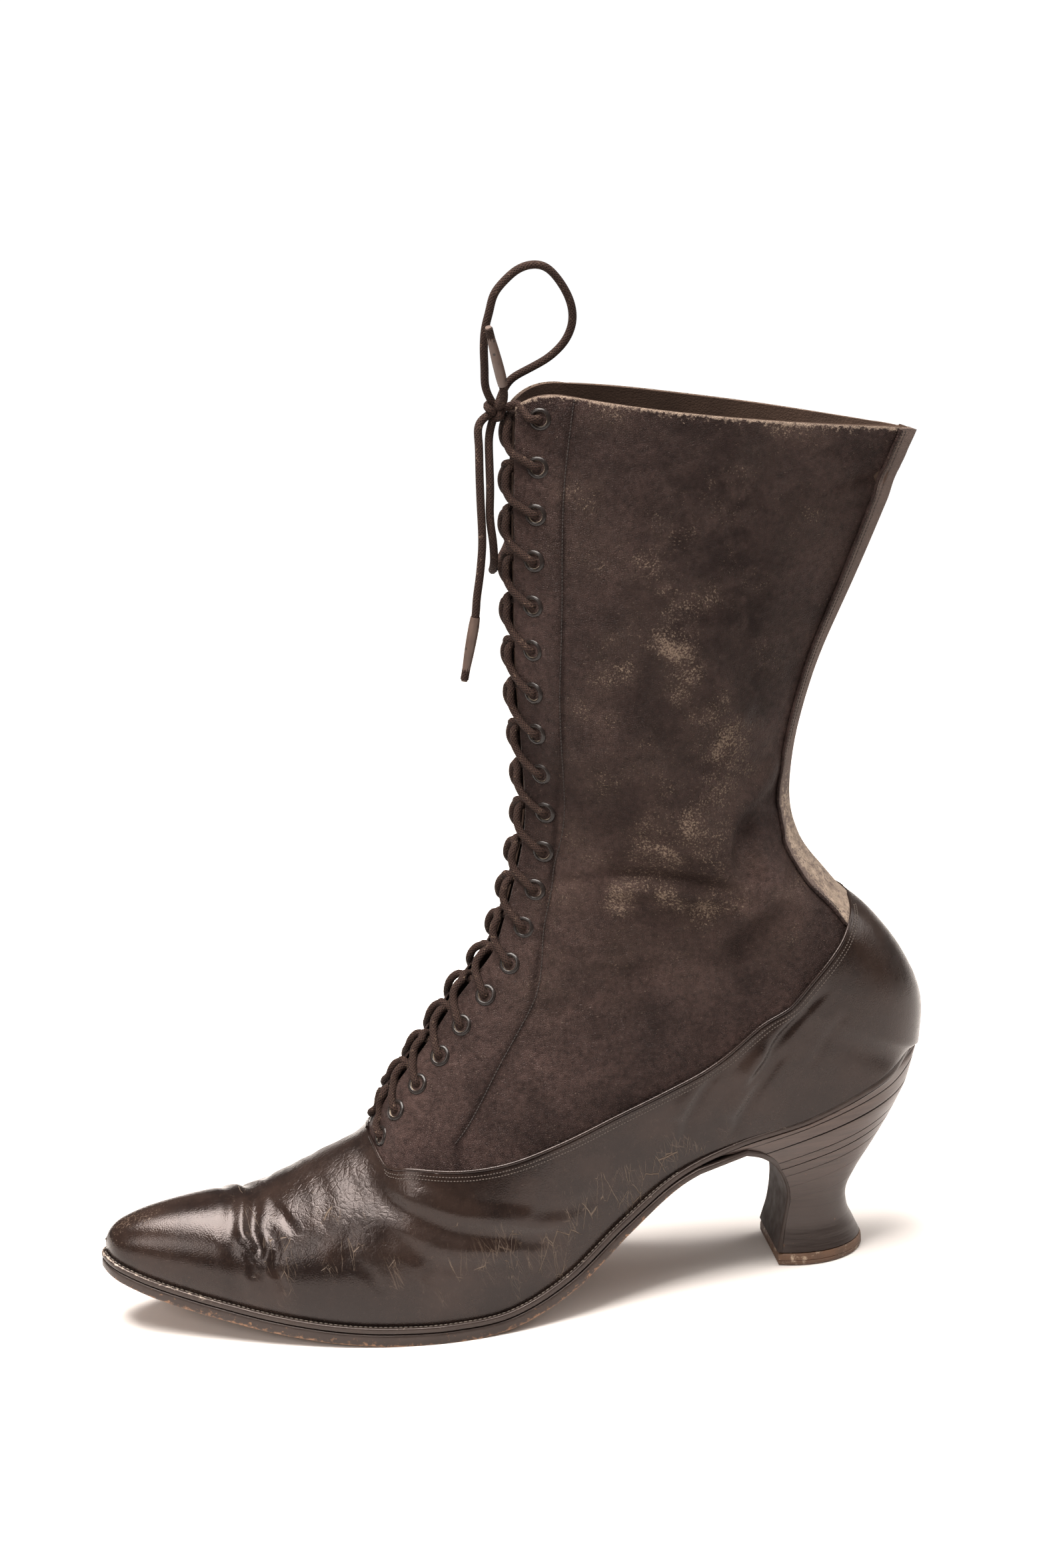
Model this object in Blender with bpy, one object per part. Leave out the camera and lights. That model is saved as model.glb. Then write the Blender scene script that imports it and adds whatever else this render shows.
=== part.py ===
"""Laced boot with a pointed toe and a curved heel, for the left foot.

The toe points along -X, the outer side of the foot is at -Y, and the sole stands on Z = 0.
The upper is one hollow wall through the sections of the last. Every other leather piece is
cut from the same wall: the golosh and back strip lie over it, the tongue and insole inside it.
"""

import math

import bmesh
import bpy
import numpy as np
from mathutils import Vector

MM = 0.001

# Driving sizes, in millimetres
GAP = 0.3
WALL = 1.6
GOLOSH_THICK = 1.0
STRIP_THICK = 0.7
TONGUE_THICK = 1.4
INSOLE_THICK = 2.0
WELT_THICK = 1.9
WELT_REACH = 2.6
WELT_WIDTH = 9.0
TOP_PIECE_THICK = 4.0
STANCE_FLAT = 0.3

EYELETS = 20
EYELET_INSET = 7.6
EYELET_HOLE = 2.1
EYELET_RADIUS = 3.4
EYELET_THICK = 0.7
EYELET_SIDES = 8
EYELET_START = 5.0
EYELET_STEP_LOW = 10.3
EYELET_STEP_HIGH = 13.9

LACE_RADIUS = 1.2
LACE_SIDES = 6
LACE_ARCH = 3.4

OUTER, INNER = -1, 1

# The last, one row for each section, in millimetres. A section runs from its front point, on the
# ridge of the foot or the edge of the lacing, to its base point, on the sole or the back of the leg.
# middle: sideways place of the section. wide: half width at its widest. sole: half width at the base.
# wide_at: share of the way to the base where it is widest. front_round, back_round: 1 is a pointed
# end and 2 a round one. edge: half the gap between the two lacing edges.
COLUMNS = ("front_x", "front_z", "base_x", "base_z", "middle", "wide_out", "wide_in",
           "sole_out", "sole_in", "wide_at", "front_round", "back_round", "edge")
SECTIONS = (
    (-124.9, 27.2, -125.0, 23.7, 5.0, 0.0, 0.0, 0.0, 0.0, 0.70, 2.00, 1.0, 0.0),
    (-123.6, 29.4, -123.6, 23.0, 4.9, 4.3, 4.3, 3.9, 3.9, 0.70, 2.00, 1.0, 0.0),
    (-120.4, 31.9, -120.4, 21.4, 4.7, 7.6, 7.6, 7.0, 7.0, 0.70, 2.00, 1.0, 0.0),
    (-113.0, 34.6, -113.0, 18.6, 4.2, 11.7, 11.7, 10.9, 10.9, 0.70, 2.00, 1.0, 0.0),
    (-102.0, 36.9, -102.0, 15.4, 3.4, 16.3, 16.3, 15.3, 15.3, 0.71, 1.95, 1.0, 0.0),
    (-91.0, 38.2, -91.0, 12.7, 2.6, 20.4, 20.6, 19.3, 19.5, 0.72, 1.90, 1.0, 0.0),
    (-80.0, 38.6, -80.0, 10.3, 1.8, 24.4, 24.8, 23.1, 23.5, 0.73, 1.85, 1.0, 0.0),
    (-68.0, 43.4, -68.0, 8.3, 1.0, 28.2, 28.7, 26.7, 27.2, 0.74, 1.75, 1.0, 0.0),
    (-56.0, 49.0, -56.0, 7.0, 0.4, 31.4, 32.6, 29.8, 31.0, 0.75, 1.65, 1.0, 0.0),
    (-44.6, 55.4, -43.0, 6.3, 0.0, 33.6, 34.4, 32.0, 32.7, 0.76, 1.55, 1.0, 0.0),
    (-39.2, 67.2, -27.0, 6.1, -0.2, 34.4, 33.6, 33.0, 31.6, 0.76, 1.45, 1.0, 2.6),
    (-32.0, 77.0, -9.0, 7.4, 0.2, 33.2, 31.2, 31.6, 28.0, 0.74, 1.40, 1.0, 3.6),
    (-24.5, 86.2, 9.0, 15.0, 1.0, 31.2, 28.4, 28.6, 23.4, 0.70, 1.40, 1.0, 4.0),
    (-17.0, 96.2, 27.0, 28.9, 1.9, 29.4, 27.0, 25.4, 20.6, 0.66, 1.40, 1.0, 4.2),
    (-10.0, 104.3, 45.0, 41.3, 2.6, 28.2, 26.4, 23.2, 19.4, 0.62, 1.40, 1.0, 4.4),
    (-4.6, 111.0, 65.0, 48.8, 3.0, 27.4, 26.2, 22.5, 20.8, 0.60, 1.40, 1.0, 4.5),
    (-1.2, 119.5, 88.0, 54.2, 3.2, 26.8, 26.2, 22.6, 22.0, 0.60, 1.40, 1.0, 4.5),
    (1.6, 128.5, 111.0, 63.2, 3.2, 26.2, 25.8, 18.6, 18.4, 0.60, 1.40, 1.2, 4.5),
    (3.8, 136.8, 125.4, 67.2, 3.2, 25.8, 25.4, 0.0, 0.0, 0.60, 1.35, 2.2, 4.5),
    (5.6, 144.2, 125.9, 82.0, 3.2, 25.4, 25.2, 0.0, 0.0, 0.60, 1.35, 2.3, 4.5),
    (6.7, 152.5, 120.8, 95.8, 3.2, 25.0, 24.8, 0.0, 0.0, 0.58, 1.35, 2.2, 4.4),
    (7.0, 161.5, 111.4, 109.4, 3.2, 24.6, 24.4, 0.0, 0.0, 0.55, 1.35, 2.0, 4.3),
    (6.7, 171.5, 99.0, 121.6, 3.2, 24.2, 24.0, 0.0, 0.0, 0.50, 1.35, 1.7, 4.2),
    (6.2, 184.0, 88.6, 137.0, 3.2, 23.8, 23.8, 0.0, 0.0, 0.46, 1.35, 1.35, 4.1),
    (5.9, 201.0, 86.6, 155.4, 3.2, 23.0, 23.0, 0.0, 0.0, 0.44, 1.32, 1.15, 4.0),
    (6.3, 224.0, 94.8, 188.0, 3.2, 21.6, 21.6, 0.0, 0.0, 0.42, 1.25, 1.05, 4.0),
    (7.4, 252.0, 109.8, 222.0, 3.2, 18.2, 18.2, 0.0, 0.0, 0.40, 1.12, 1.0, 3.8),
    (9.3, 283.0, 126.2, 260.0, 3.2, 13.4, 13.4, 0.0, 0.0, 0.38, 1.02, 1.0, 3.5),
)
THROAT = 9
HEEL_BACK = 18
COLLAR = len(SECTIONS) - 1
COLLAR_CORNER = 0.12
COLLAR_CORNER_DROP = 0.26

# Top edge of the golosh: section, and share of the way down that section
GOLOSH_EDGE = (
    (9.0, 0.0), (9.25, 0.12), (9.6, 0.19), (10.0, 0.24), (11.0, 0.36), (12.0, 0.47), (13.0, 0.58),
    (14.0, 0.65), (15.0, 0.67), (16.0, 0.66), (17.0, 0.64), (18.0, 0.64), (19.0, 0.70),
    (20.0, 0.79), (21.0, 0.91), (21.6, 1.0),
)

# Outsole thickness by section
SOLE_THICK = ((0, 3.2), (5, 3.7), (10, 3.9), (12, 3.2), (14, 2.0), (16, 1.8))

# The outsole past the waist, where it turns down the front of the heel: the walking face and half width
BREAST = (
    (67.0, 43.6, 24.4), (71.4, 42.0, 23.2), (75.2, 38.8, 20.8), (78.4, 34.2, 17.8), (80.8, 28.6, 15.0),
    (81.8, 23.6, 12.9), (81.4, 18.6, 11.6), (80.4, 13.0, 11.2), (79.2, 8.0, 12.0), (78.5, 4.7, 13.0),
)
BREAST_THICK = 1.8

# Heel block, seat to base: front point, back point, half width, share of that width at the front.
# The first row lies against the sole, so its heights come from the last.
HEEL_LEVELS = (
    (72.6, 45.4, 126.4, 63.6, 24.9, 0.97), (76.8, 40.8, 122.0, 54.9, 22.2, 0.93),
    (80.8, 34.6, 117.6, 46.2, 19.2, 0.90), (83.2, 28.4, 112.4, 37.4, 16.4, 0.88),
    (84.0, 22.6, 106.8, 28.4, 13.9, 0.87), (83.6, 17.6, 103.2, 20.6, 12.4, 0.86),
    (82.6, 12.6, 103.2, 13.8, 12.2, 0.86), (81.5, 8.0, 105.2, 8.6, 13.2, 0.86),
    (80.8, 4.6, 107.0, 4.6, 14.3, 0.86),
)
TOP_PIECE = (78.6, 107.6, 14.7, 0.86)
HEEL_WIDEST = 0.36

# Tongue: section, room kept beside it for the lace, and depth behind the front of the section
TONGUE_ROWS = ((7.4, 0.5, 2.3), (8.4, 0.7, 2.6), (9.2, 2.2, 4.4), (10.5, 2.2, 3.8), (12.0, 2.2, 2.6),
               (26.6, 2.2, 2.6))
TONGUE_HALF = 17.0

# Bow: the knot, and the points that each cord follows from it
KNOT = (3.9, 3.2, 275.8)
KNOT_RADII = (3.4, 3.2, 2.9)
LOOP_UP = (
    (0.9, 1.8, 282.6), (0.7, 0.3, 288.8), (0.5, -1.2, 295.6), (1.0, -2.2, 301.5), (2.3, -2.6, 305.9),
    (3.6, -2.9, 310.9), (6.4, -3.0, 314.2), (10.7, -3.0, 317.7), (15.2, -2.9, 318.8), (19.4, -2.5, 317.5),
    (23.5, -2.1, 312.2), (26.1, -1.4, 306.2), (26.5, -0.7, 300.8), (25.1, 0.1, 296.4), (23.0, 0.9, 293.3),
    (19.1, 1.7, 289.9), (13.9, 3.0, 287.0), (8.2, 5.4, 283.2),
)
LOOP_DOWN = (
    (1.5, 2.6, 268.6), (0.8, -0.4, 262.0), (0.4, -2.4, 254.0), (-0.1, -2.5, 245.3), (0.0, -2.5, 237.8),
    (-0.6, -0.2, 230.6), (-0.8, 5.6, 226.0), (2.6, 13.8, 225.8), (7.6, 19.8, 229.8), (11.0, 21.4, 238.0),
    (12.2, 21.0, 247.0), (11.8, 20.0, 256.0), (10.2, 17.6, 265.0), (7.4, 12.6, 271.8), (5.6, 9.4, 274.0),
)
END_UP = ((5.6, -2.0, 279.6), (5.2, -3.4, 284.4))
AGLET_UP = ((5.15, -3.5, 284.8), (3.0, -6.2, 294.0), (1.0, -8.4, 302.6))
END_DOWN = (
    (-1.8, 0.8, 272.6), (-2.0, -0.4, 266.5), (-2.4, -1.6, 258.2), (-2.6, -2.6, 249.9), (-2.6, -3.0, 243.5),
    (-2.8, -3.4, 237.2), (-3.9, -3.5, 228.5), (-5.2, -3.5, 221.3), (-5.6, -3.5, 216.9),
)
AGLET_DOWN = ((-5.7, -3.5, 216.5), (-7.8, -3.5, 206.7), (-9.8, -3.5, 197.5))
AGLET_RADIUS = 1.5


def clear_scene():
    for old in list(bpy.data.objects):
        bpy.data.objects.remove(old, do_unlink=True)


def leather(name, colour, roughness, metallic=0.0):
    material = bpy.data.materials.new(name)
    material.use_nodes = True
    shader = material.node_tree.nodes["Principled BSDF"]
    shader.inputs["Base Color"].default_value = (*colour, 1.0)
    shader.inputs["Roughness"].default_value = roughness
    shader.inputs["Metallic"].default_value = metallic
    return material


def add_object(name, mesh, material, smooth=True):
    made = bpy.data.objects.new(name, mesh)
    bpy.context.scene.collection.objects.link(made)
    if not mesh.materials:
        mesh.materials.append(material)
    if smooth:
        mesh.shade_smooth()
        mesh.set_sharp_from_angle(angle=math.radians(38))
    return made


def table_at(table, place, column=1):
    """A column of a table at a place between its rows. The first column holds the places."""
    places = [row[0] for row in table]
    return float(np.interp(place, places, [row[column] for row in table]))


def section(s):
    """The last's section at row s, with the rows joined by a smooth curve.
    The base line has a corner at the back of the heel, where the sole ends and the leg starts."""
    last = len(SECTIONS) - 1
    i = min(int(math.floor(s)), last - 1)
    t = s - i
    rows = [np.array(SECTIONS[min(max(k, 0), last)]) for k in (i - 1, i, i + 1, i + 2)]
    a, b, c, d = rows
    if i == HEEL_BACK - 1:
        d[2:4] = 2 * c[2:4] - b[2:4]
    if i == HEEL_BACK:
        a[2:4] = 2 * b[2:4] - c[2:4]
    value = 0.5 * (2 * b + (c - a) * t + (2 * a - 5 * b + 4 * c - d) * t**2 + (3 * b - a - 3 * c + d) * t**3)
    row = dict(zip(COLUMNS, value))
    for name in ("wide_out", "wide_in", "sole_out", "sole_in", "edge"):
        row[name] = max(row[name], 0.0)
    if s >= HEEL_BACK:
        row["sole_out"] = row["sole_in"] = 0.0
    if s <= THROAT:
        row["edge"] = 0.0
    return row


def last_point(s, h, side):
    """A point of the upper's outer face: section s, share h of the way from its front to its base."""
    row = section(s)
    wide = row["wide_out"] if side == OUTER else row["wide_in"]
    base = row["sole_out"] if side == OUTER else row["sole_in"]
    if h <= row["wide_at"]:
        fall = 1.0 - h / row["wide_at"]
        half = row["edge"] + (wide - row["edge"]) * (1.0 - fall**2) ** (1.0 / row["front_round"])
    else:
        fall = (h - row["wide_at"]) / (1.0 - row["wide_at"])
        half = base + (wide - base) * max(0.0, 1.0 - fall**2) ** (1.0 / row["back_round"])
    x = row["front_x"] + (row["base_x"] - row["front_x"]) * h
    z = row["front_z"] + (row["base_z"] - row["front_z"]) * h
    return np.array((x, row["middle"] + side * half, z))


def side_normal(s, h, side):
    """The outward direction of one side of the wall, from nearby points."""
    step = 0.01
    s0, s1 = max(s - step, 0.0), min(s + step, COLLAR)
    h0, h1 = max(h - step, 0.0), min(h + step, 1.0)
    along = last_point(s1, h, side) - last_point(s0, h, side)
    down = last_point(s, h1, side) - last_point(s, h0, side)
    normal = np.cross(along, down) * side
    return normal / max(np.linalg.norm(normal), 1e-9)


def skin(s, h, side, offset):
    """A point of the wall moved outwards by offset. Where the two sides meet they move together."""
    point = last_point(s, h, side)
    if offset == 0.0:
        return point
    joined = s < 1e-6 or (h > 1.0 - 1e-6 and s >= HEEL_BACK) or (h < 1e-6 and s <= THROAT)
    near_s, near_h = max(s, 0.03), min(max(h, 0.004), 0.996)
    normal = side_normal(near_s, near_h, OUTER if joined else side)
    away = normal
    if joined:
        away = normal + side_normal(near_s, near_h, INNER)
        away[1] = 0.0
        away /= np.linalg.norm(away)
        offset = offset / max(float(away @ normal), 0.42 if s > THROAT else 0.85)
    if h > 1.0 - 1e-6 and s < HEEL_BACK + 1e-6:
        down = sole_frame(s)[3]
        away = away - down * float(away @ down)
        away /= np.linalg.norm(away)
        point = point - down * (0.12 if offset > 0 else 0.0)
    return point + away * offset


def spread(count):
    """Shares from 0 to 1, closer together at both ends, where the wall curves most."""
    shares = np.linspace(0.0, 1.0, count)
    return shares - 0.11 * np.sin(2 * np.pi * shares)


def wall_solid(name, sheets, material):
    """A closed solid between two faces of the same grid. A sheet is (outer rows, inner rows)."""
    ids, outer, inner, faces = {}, [], [], []

    def vertex(face_point, back_point):
        key = tuple(np.round(face_point, 4))
        if key not in ids:
            ids[key] = len(outer)
            outer.append(face_point)
            inner.append(back_point)
        return ids[key]

    for front, back, flip in sheets:
        grid = [[vertex(p, q) for p, q in zip(fr, br)] for fr, br in zip(front, back)]
        for r0, r1 in zip(grid, grid[1:]):
            for a, b, c, d in zip(r0, r0[1:], r1[1:], r1):
                for loop in ((a, b, c), (a, c, d)):
                    if len(set(loop)) == 3:
                        faces.append(list(loop[::-1] if flip else loop))
    count = len(outer)
    edges = {}
    for loop in faces:
        for a, b in zip(loop, loop[1:] + loop[:1]):
            edges[(a, b)] = edges.get((a, b), 0) + 1
    rim = [(b, a, a + count, b + count) for a, b in edges if (b, a) not in edges]
    backs = [[k + count for k in reversed(loop)] for loop in faces]
    mesh = bpy.data.meshes.new(name)
    mesh.from_pydata([Vector(p) * MM for p in outer + inner], [], faces + backs + rim)
    shape = bmesh.new()
    shape.from_mesh(mesh)
    bmesh.ops.recalc_face_normals(shape, faces=shape.faces)
    shape.to_mesh(mesh)
    shape.free()
    return add_object(name, mesh, material)


def collar_section(s, h):
    """The section of a point on the collar, which is rounded off at the lacing."""
    if s < COLLAR - 1e-6 or h > COLLAR_CORNER:
        return s
    return COLLAR - COLLAR_CORNER_DROP * (1.0 - h / COLLAR_CORNER) ** 2


def wall_stations(first, last):
    """The sections at which the wall, and all that lies over it, is drawn."""
    steps = np.r_[np.linspace(0, COLLAR, 37), 0.3, HEEL_BACK - 0.5, HEEL_BACK - 0.2]
    stations = np.unique(np.round(steps, 4))
    return stations[(stations >= first - 1e-6) & (stations <= last + 1e-6)]


def wall_piece(name, material, first, last, columns, outside, inside):
    """A piece of the wall between two offsets, drawn on the wall's own sections and shares."""
    shares = spread(9)[columns]
    sheets = []
    for side in (OUTER, INNER):
        faces = []
        for offset in (outside, inside):
            faces.append([[skin(collar_section(s, h), h, side, offset) for h in shares]
                          for s in wall_stations(first, last)])
        sheets.append((*faces, side == INNER))
    return wall_solid(name, sheets, material)


def make_upper(material):
    return wall_piece("upper", material, 0, COLLAR, slice(None), 0.0, -WALL)


def make_golosh(material):
    """The shell over the foot, cut along its top edge by one straight sideways cut."""
    golosh = wall_piece("golosh", material, 0, 22.5, slice(None), GAP + GOLOSH_THICK, GAP)
    edge = [last_point(s, h, OUTER)[[0, 2]] for s, h in GOLOSH_EDGE]
    front_x = edge[0][0] - 0.3
    edge = [(front_x, edge[0][1] - 3.0)] + edge[1:] + [(135.0, 145.0), (135.0, 300.0), (front_x, 300.0)]
    rings = [[np.array((x, y, z)) for x, z in edge] for y in (-70.0, 70.0)]
    cutter = loft("golosh_edge_cut", rings, material)
    cutter.hide_render = True
    cutter.display_type = "WIRE"
    cut = golosh.modifiers.new("top_edge", "BOOLEAN")
    cut.operation = "DIFFERENCE"
    cut.object = cutter
    return golosh


def make_back_strip(material):
    """The strip over the back seam, from the golosh to the collar."""
    return wall_piece("back_strip", material, 21.75, COLLAR, slice(-2, None), GAP + STRIP_THICK + 0.15,
                      GAP + 0.15)


def tongue_depth(row, side, reach, clear):
    """How far behind the front of a section the tongue lies, at a reach to one side of the middle."""
    wide = row["wide_out"] if side == OUTER else row["wide_in"]
    length = math.hypot(row["base_x"] - row["front_x"], row["base_z"] - row["front_z"])
    low, high = 0.0, row["wide_at"]
    for _ in range(24):
        h = 0.5 * (low + high)
        fall = 1.0 - h / row["wide_at"]
        half = row["edge"] + (wide - row["edge"]) * (1.0 - fall**2) ** (1.0 / row["front_round"])
        low, high = (h, high) if half < reach + 1.25 * WALL + clear else (low, h)
    return h * length


def make_tongue(material):
    """A strip behind the lacing gap, bent round inside the wall and tucked under the vamp."""
    stations = np.linspace(TONGUE_ROWS[0][0], TONGUE_ROWS[-1][0], 14)
    front, back = [], []
    for s in stations:
        row = section(s)
        clear = table_at(TONGUE_ROWS, s)
        half = min(TONGUE_HALF, 0.72 * min(row["wide_out"], row["wide_in"]) - WALL)
        tip = np.array((row["front_x"], row["middle"], row["front_z"]))
        inward = np.array((row["base_x"] - row["front_x"], 0.0, row["base_z"] - row["front_z"]))
        inward /= np.linalg.norm(inward)
        front.append([])
        back.append([])
        for a in np.linspace(-1.0, 1.0, 7):
            side = OUTER if a < 0 else INNER
            reach = abs(a) * half
            depth = tongue_depth(row, side, reach, clear)
            slope = (tongue_depth(row, side, reach + 0.5, clear) - depth) / 0.5
            thick = TONGUE_THICK * min(math.hypot(1.0, slope), 2.6)
            depth += table_at(TONGUE_ROWS, s, 2)
            place = tip + np.array((0.0, side * reach, 0.0)) + inward * depth
            front[-1].append(place)
            back[-1].append(place + inward * thick)
    return wall_solid("tongue", [(front, back, False)], material)


def sole_frame(s):
    """A place on the line where upper and sole meet: point, direction across the sole's thickness."""
    row = section(s)
    before, after = section(max(s - 0.05, 0.0)), section(min(s + 0.05, HEEL_BACK))
    run = np.array((after["base_x"] - before["base_x"], 0.0, after["base_z"] - before["base_z"]))
    run /= np.linalg.norm(run)
    tilt = min(max((s - 10.0) / 2.0, 0.0), 1.0) * math.atan2(run[2], run[0])
    down = np.array((math.sin(tilt), 0.0, -math.cos(tilt)))
    return row, np.array((row["base_x"], row["middle"], row["base_z"])), run, down


def plate_rows(stations, reach, low, high, columns=(-1.0, 0.0, 1.0), inset=0.0):
    """Rows of points across the sole at two depths below the line where it meets the upper.
    A column is a share of the half width, or for shares of 0.5 the half width less the inset."""
    upper_rows, lower_rows = [], []
    for s in stations:
        row, middle, run, down = sole_frame(s)
        edges = {side: skin(s, 1.0, side, reach) for side in (OUTER, INNER)}
        middle = 0.5 * (edges[OUTER] + edges[INNER])
        rows = []
        for share in columns:
            span = edges[OUTER if share < 0 else INNER] - middle
            half = np.linalg.norm(span)
            if abs(share) == 0.5:
                span = span * max(half - inset, 0.25 * half) / max(half, 1e-9)
            else:
                span = span * abs(share)
            rows.append(middle + span)
        high_d = high(s) if callable(high) else high
        low_d = low(s) if callable(low) else low
        upper_rows.append([p + down * high_d for p in rows])
        lower_rows.append([p + down * low_d for p in rows])
    return upper_rows, lower_rows


def make_insole(material):
    top, bottom = plate_rows(wall_stations(1.5, 17.5), -(WALL + 0.9), 0.0, -INSOLE_THICK)
    return wall_solid("insole", [(top, bottom, True)], material)


def make_welt(material):
    """A strip round the whole sole, open in the middle between the toe and the heel seat."""
    stations = wall_stations(0, HEEL_BACK)
    low, high = GAP + WELT_THICK, GAP
    sheets = []
    for columns in ((-1.0, -0.5), (0.5, 1.0)):
        top, bottom = plate_rows(stations, WELT_REACH, low, high, columns, WELT_WIDTH)
        sheets.append((top, bottom, True))
    for ends in (wall_stations(0, 4.0), wall_stations(17.0, HEEL_BACK)):
        top, bottom = plate_rows(ends, WELT_REACH, low, high, (-0.5, 0.5), WELT_WIDTH)
        sheets.append((top, bottom, True))
    return wall_solid("welt", sheets, material)


def make_outsole(material):
    """The outsole follows the last to the waist, then turns down the front of the heel."""
    start = GAP + WELT_THICK + GAP
    top, bottom = plate_rows(wall_stations(0, 14.3), WELT_REACH, lambda s: start + table_at(SOLE_THICK, s), start)
    for row in bottom:
        for point in row:
            point[2] = point[2] if point[2] > STANCE_FLAT else 0.0
    middle = section(16)["middle"]
    run = [np.array((x, 0.0, z)) for x, z, _ in BREAST]
    for k, (x, z, half) in enumerate(BREAST):
        ahead = run[min(k + 1, len(run) - 1)] - run[max(k - 1, 0)]
        ahead /= np.linalg.norm(ahead)
        inward = np.array((-ahead[2], 0.0, ahead[0])) * BREAST_THICK
        row = [np.array((x, middle + a * half, z)) for a in (-1.0, 0.0, 1.0)]
        bottom.append(row)
        top.append([p + inward for p in row])
    return wall_solid("outsole", [(top, bottom, True)], material)


def heel_outline(front, back, half, front_share, middle, count=13):
    """A level of the heel: flat at the front, widest before the middle, round at the back."""
    points = []
    for side in (OUTER, INNER):
        for t in (np.linspace(0, 1, count) if side == OUTER else np.linspace(1, 0, count)[1:]):
            share = 1.0 - (1.0 - t) ** 1.6
            if share < HEEL_WIDEST:
                fall = 1.0 - share / HEEL_WIDEST
                width = half * (1.0 - (1.0 - front_share) * fall**2)
            else:
                fall = (share - HEEL_WIDEST) / (1.0 - HEEL_WIDEST)
                width = half * math.sqrt(max(0.0, 1.0 - fall**2))
            point = front + (back - front) * share
            points.append(point + np.array((0.0, middle + side * width, 0.0)))
    return points


def loft(name, rings, material):
    """A closed solid through rings of equal count, with flat ends."""
    count = len(rings[0])
    mesh = bpy.data.meshes.new(name)
    faces = [list(range(count)), [len(rings) * count - 1 - k for k in range(count)]]
    for r in range(len(rings) - 1):
        for k in range(count):
            n = (k + 1) % count
            faces.append([r * count + k, (r + 1) * count + k, (r + 1) * count + n, r * count + n])
    mesh.from_pydata([Vector(p) * MM for ring in rings for p in ring], [], faces)
    shape = bmesh.new()
    shape.from_mesh(mesh)
    bmesh.ops.recalc_face_normals(shape, faces=shape.faces)
    shape.to_mesh(mesh)
    shape.free()
    return add_object(name, mesh, material)


def make_heel(material):
    middle = section(17)["middle"]
    rings = [heel_outline(np.array((fx, 0.0, fz)), np.array((bx, 0.0, bz)), half, share, middle)
             for fx, fz, bx, bz, half, share in HEEL_LEVELS]
    stations = wall_stations(15, HEEL_BACK)
    seat = [section(s) for s in stations]
    for point in rings[0]:
        base_z = np.interp(point[0], [row["base_x"] for row in seat], [row["base_z"] for row in seat])
        point[2] = base_z - 1.06 * (GAP + WELT_THICK + GAP + 0.1)
    return loft("heel", rings, material)


def make_top_piece(material):
    middle = section(17)["middle"]
    front, back, half, share = TOP_PIECE
    rings = [heel_outline(np.array((front, 0.0, z)), np.array((back, 0.0, z)), half, share, middle)
             for z in (TOP_PIECE_THICK, 0.0)]
    return loft("top_piece", rings, material)


def lacing_edge_places():
    """The section of each eyelet, spaced along the lacing edge from the throat up."""
    fine = np.linspace(THROAT, COLLAR, 721)
    edge = np.array([(section(s)["front_x"], section(s)["front_z"]) for s in fine])
    length = np.r_[0.0, np.cumsum(np.linalg.norm(np.diff(edge, axis=0), axis=1))]
    steps = np.linspace(EYELET_STEP_LOW, EYELET_STEP_HIGH, EYELETS - 1)
    wanted = EYELET_START + np.r_[0.0, np.cumsum(steps)]
    return np.interp(wanted, length, fine)


def eyelet_place(s, side):
    """Share of the way down section s that lies one eyelet inset from the lacing edge."""
    low, high = 0.0, 0.6
    edge = last_point(s, 0.0, side)
    for _ in range(24):
        h = 0.5 * (low + high)
        far = np.linalg.norm(last_point(s, h, side) - edge)
        low, high = (h, high) if far < EYELET_INSET else (low, h)
    return last_point(s, h, side), side_normal(s, h, side)


def ring_mesh(name, inner, outer, low, high, sides):
    """A flat ring about Z."""
    mesh = bpy.data.meshes.new(name)
    profile = ((inner, low), (outer, low), (inner + 0.4 * (outer - inner), high))
    points, faces = [], []
    for k in range(sides):
        angle = 2 * math.pi * k / sides
        points += [Vector((r * math.cos(angle), r * math.sin(angle), z)) * MM for r, z in profile]
    rim = len(profile)
    for k in range(sides):
        n = (k + 1) % sides
        for j in range(rim):
            m = (j + 1) % rim
            faces.append([k * rim + j, n * rim + j, n * rim + m, k * rim + m])
    mesh.from_pydata(points, [], faces)
    shape = bmesh.new()
    shape.from_mesh(mesh)
    bmesh.ops.recalc_face_normals(shape, faces=shape.faces)
    shape.to_mesh(mesh)
    shape.free()
    return mesh


def make_eyelets(material, upper):
    """Eyelets seated on both lacing edges, over holes cut through the wall."""
    mesh = ring_mesh("eyelet", EYELET_HOLE, EYELET_RADIUS, 0.0, EYELET_THICK, EYELET_SIDES)
    holes = bmesh.new()
    for label, side in (("outer", OUTER), ("inner", INNER)):
        for k, s in enumerate(lacing_edge_places()):
            point, normal = eyelet_place(s, side)
            eyelet = add_object(f"eyelet_{label}_{k + 1:02d}", mesh, material)
            turn = Vector(normal).to_track_quat("Z", "Y")
            eyelet.location = Vector(point + normal * (GAP + (0.7 if k == 0 else 0.15))) * MM
            eyelet.rotation_mode = "QUATERNION"
            eyelet.rotation_quaternion = turn
            placed = turn.to_matrix().to_4x4()
            placed.translation = Vector(point) * MM
            bmesh.ops.create_cone(
                holes, cap_ends=True, segments=6, radius1=EYELET_HOLE * MM,
                radius2=EYELET_HOLE * MM, depth=9 * MM, matrix=placed)
    cutter_mesh = bpy.data.meshes.new("eyelet_holes")
    holes.to_mesh(cutter_mesh)
    holes.free()
    cutter = add_object("eyelet_holes", cutter_mesh, material, smooth=False)
    cutter.hide_render = True
    cutter.display_type = "WIRE"
    cut = upper.modifiers.new("eyelet_holes", "BOOLEAN")
    cut.operation = "DIFFERENCE"
    cut.object = cutter


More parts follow.
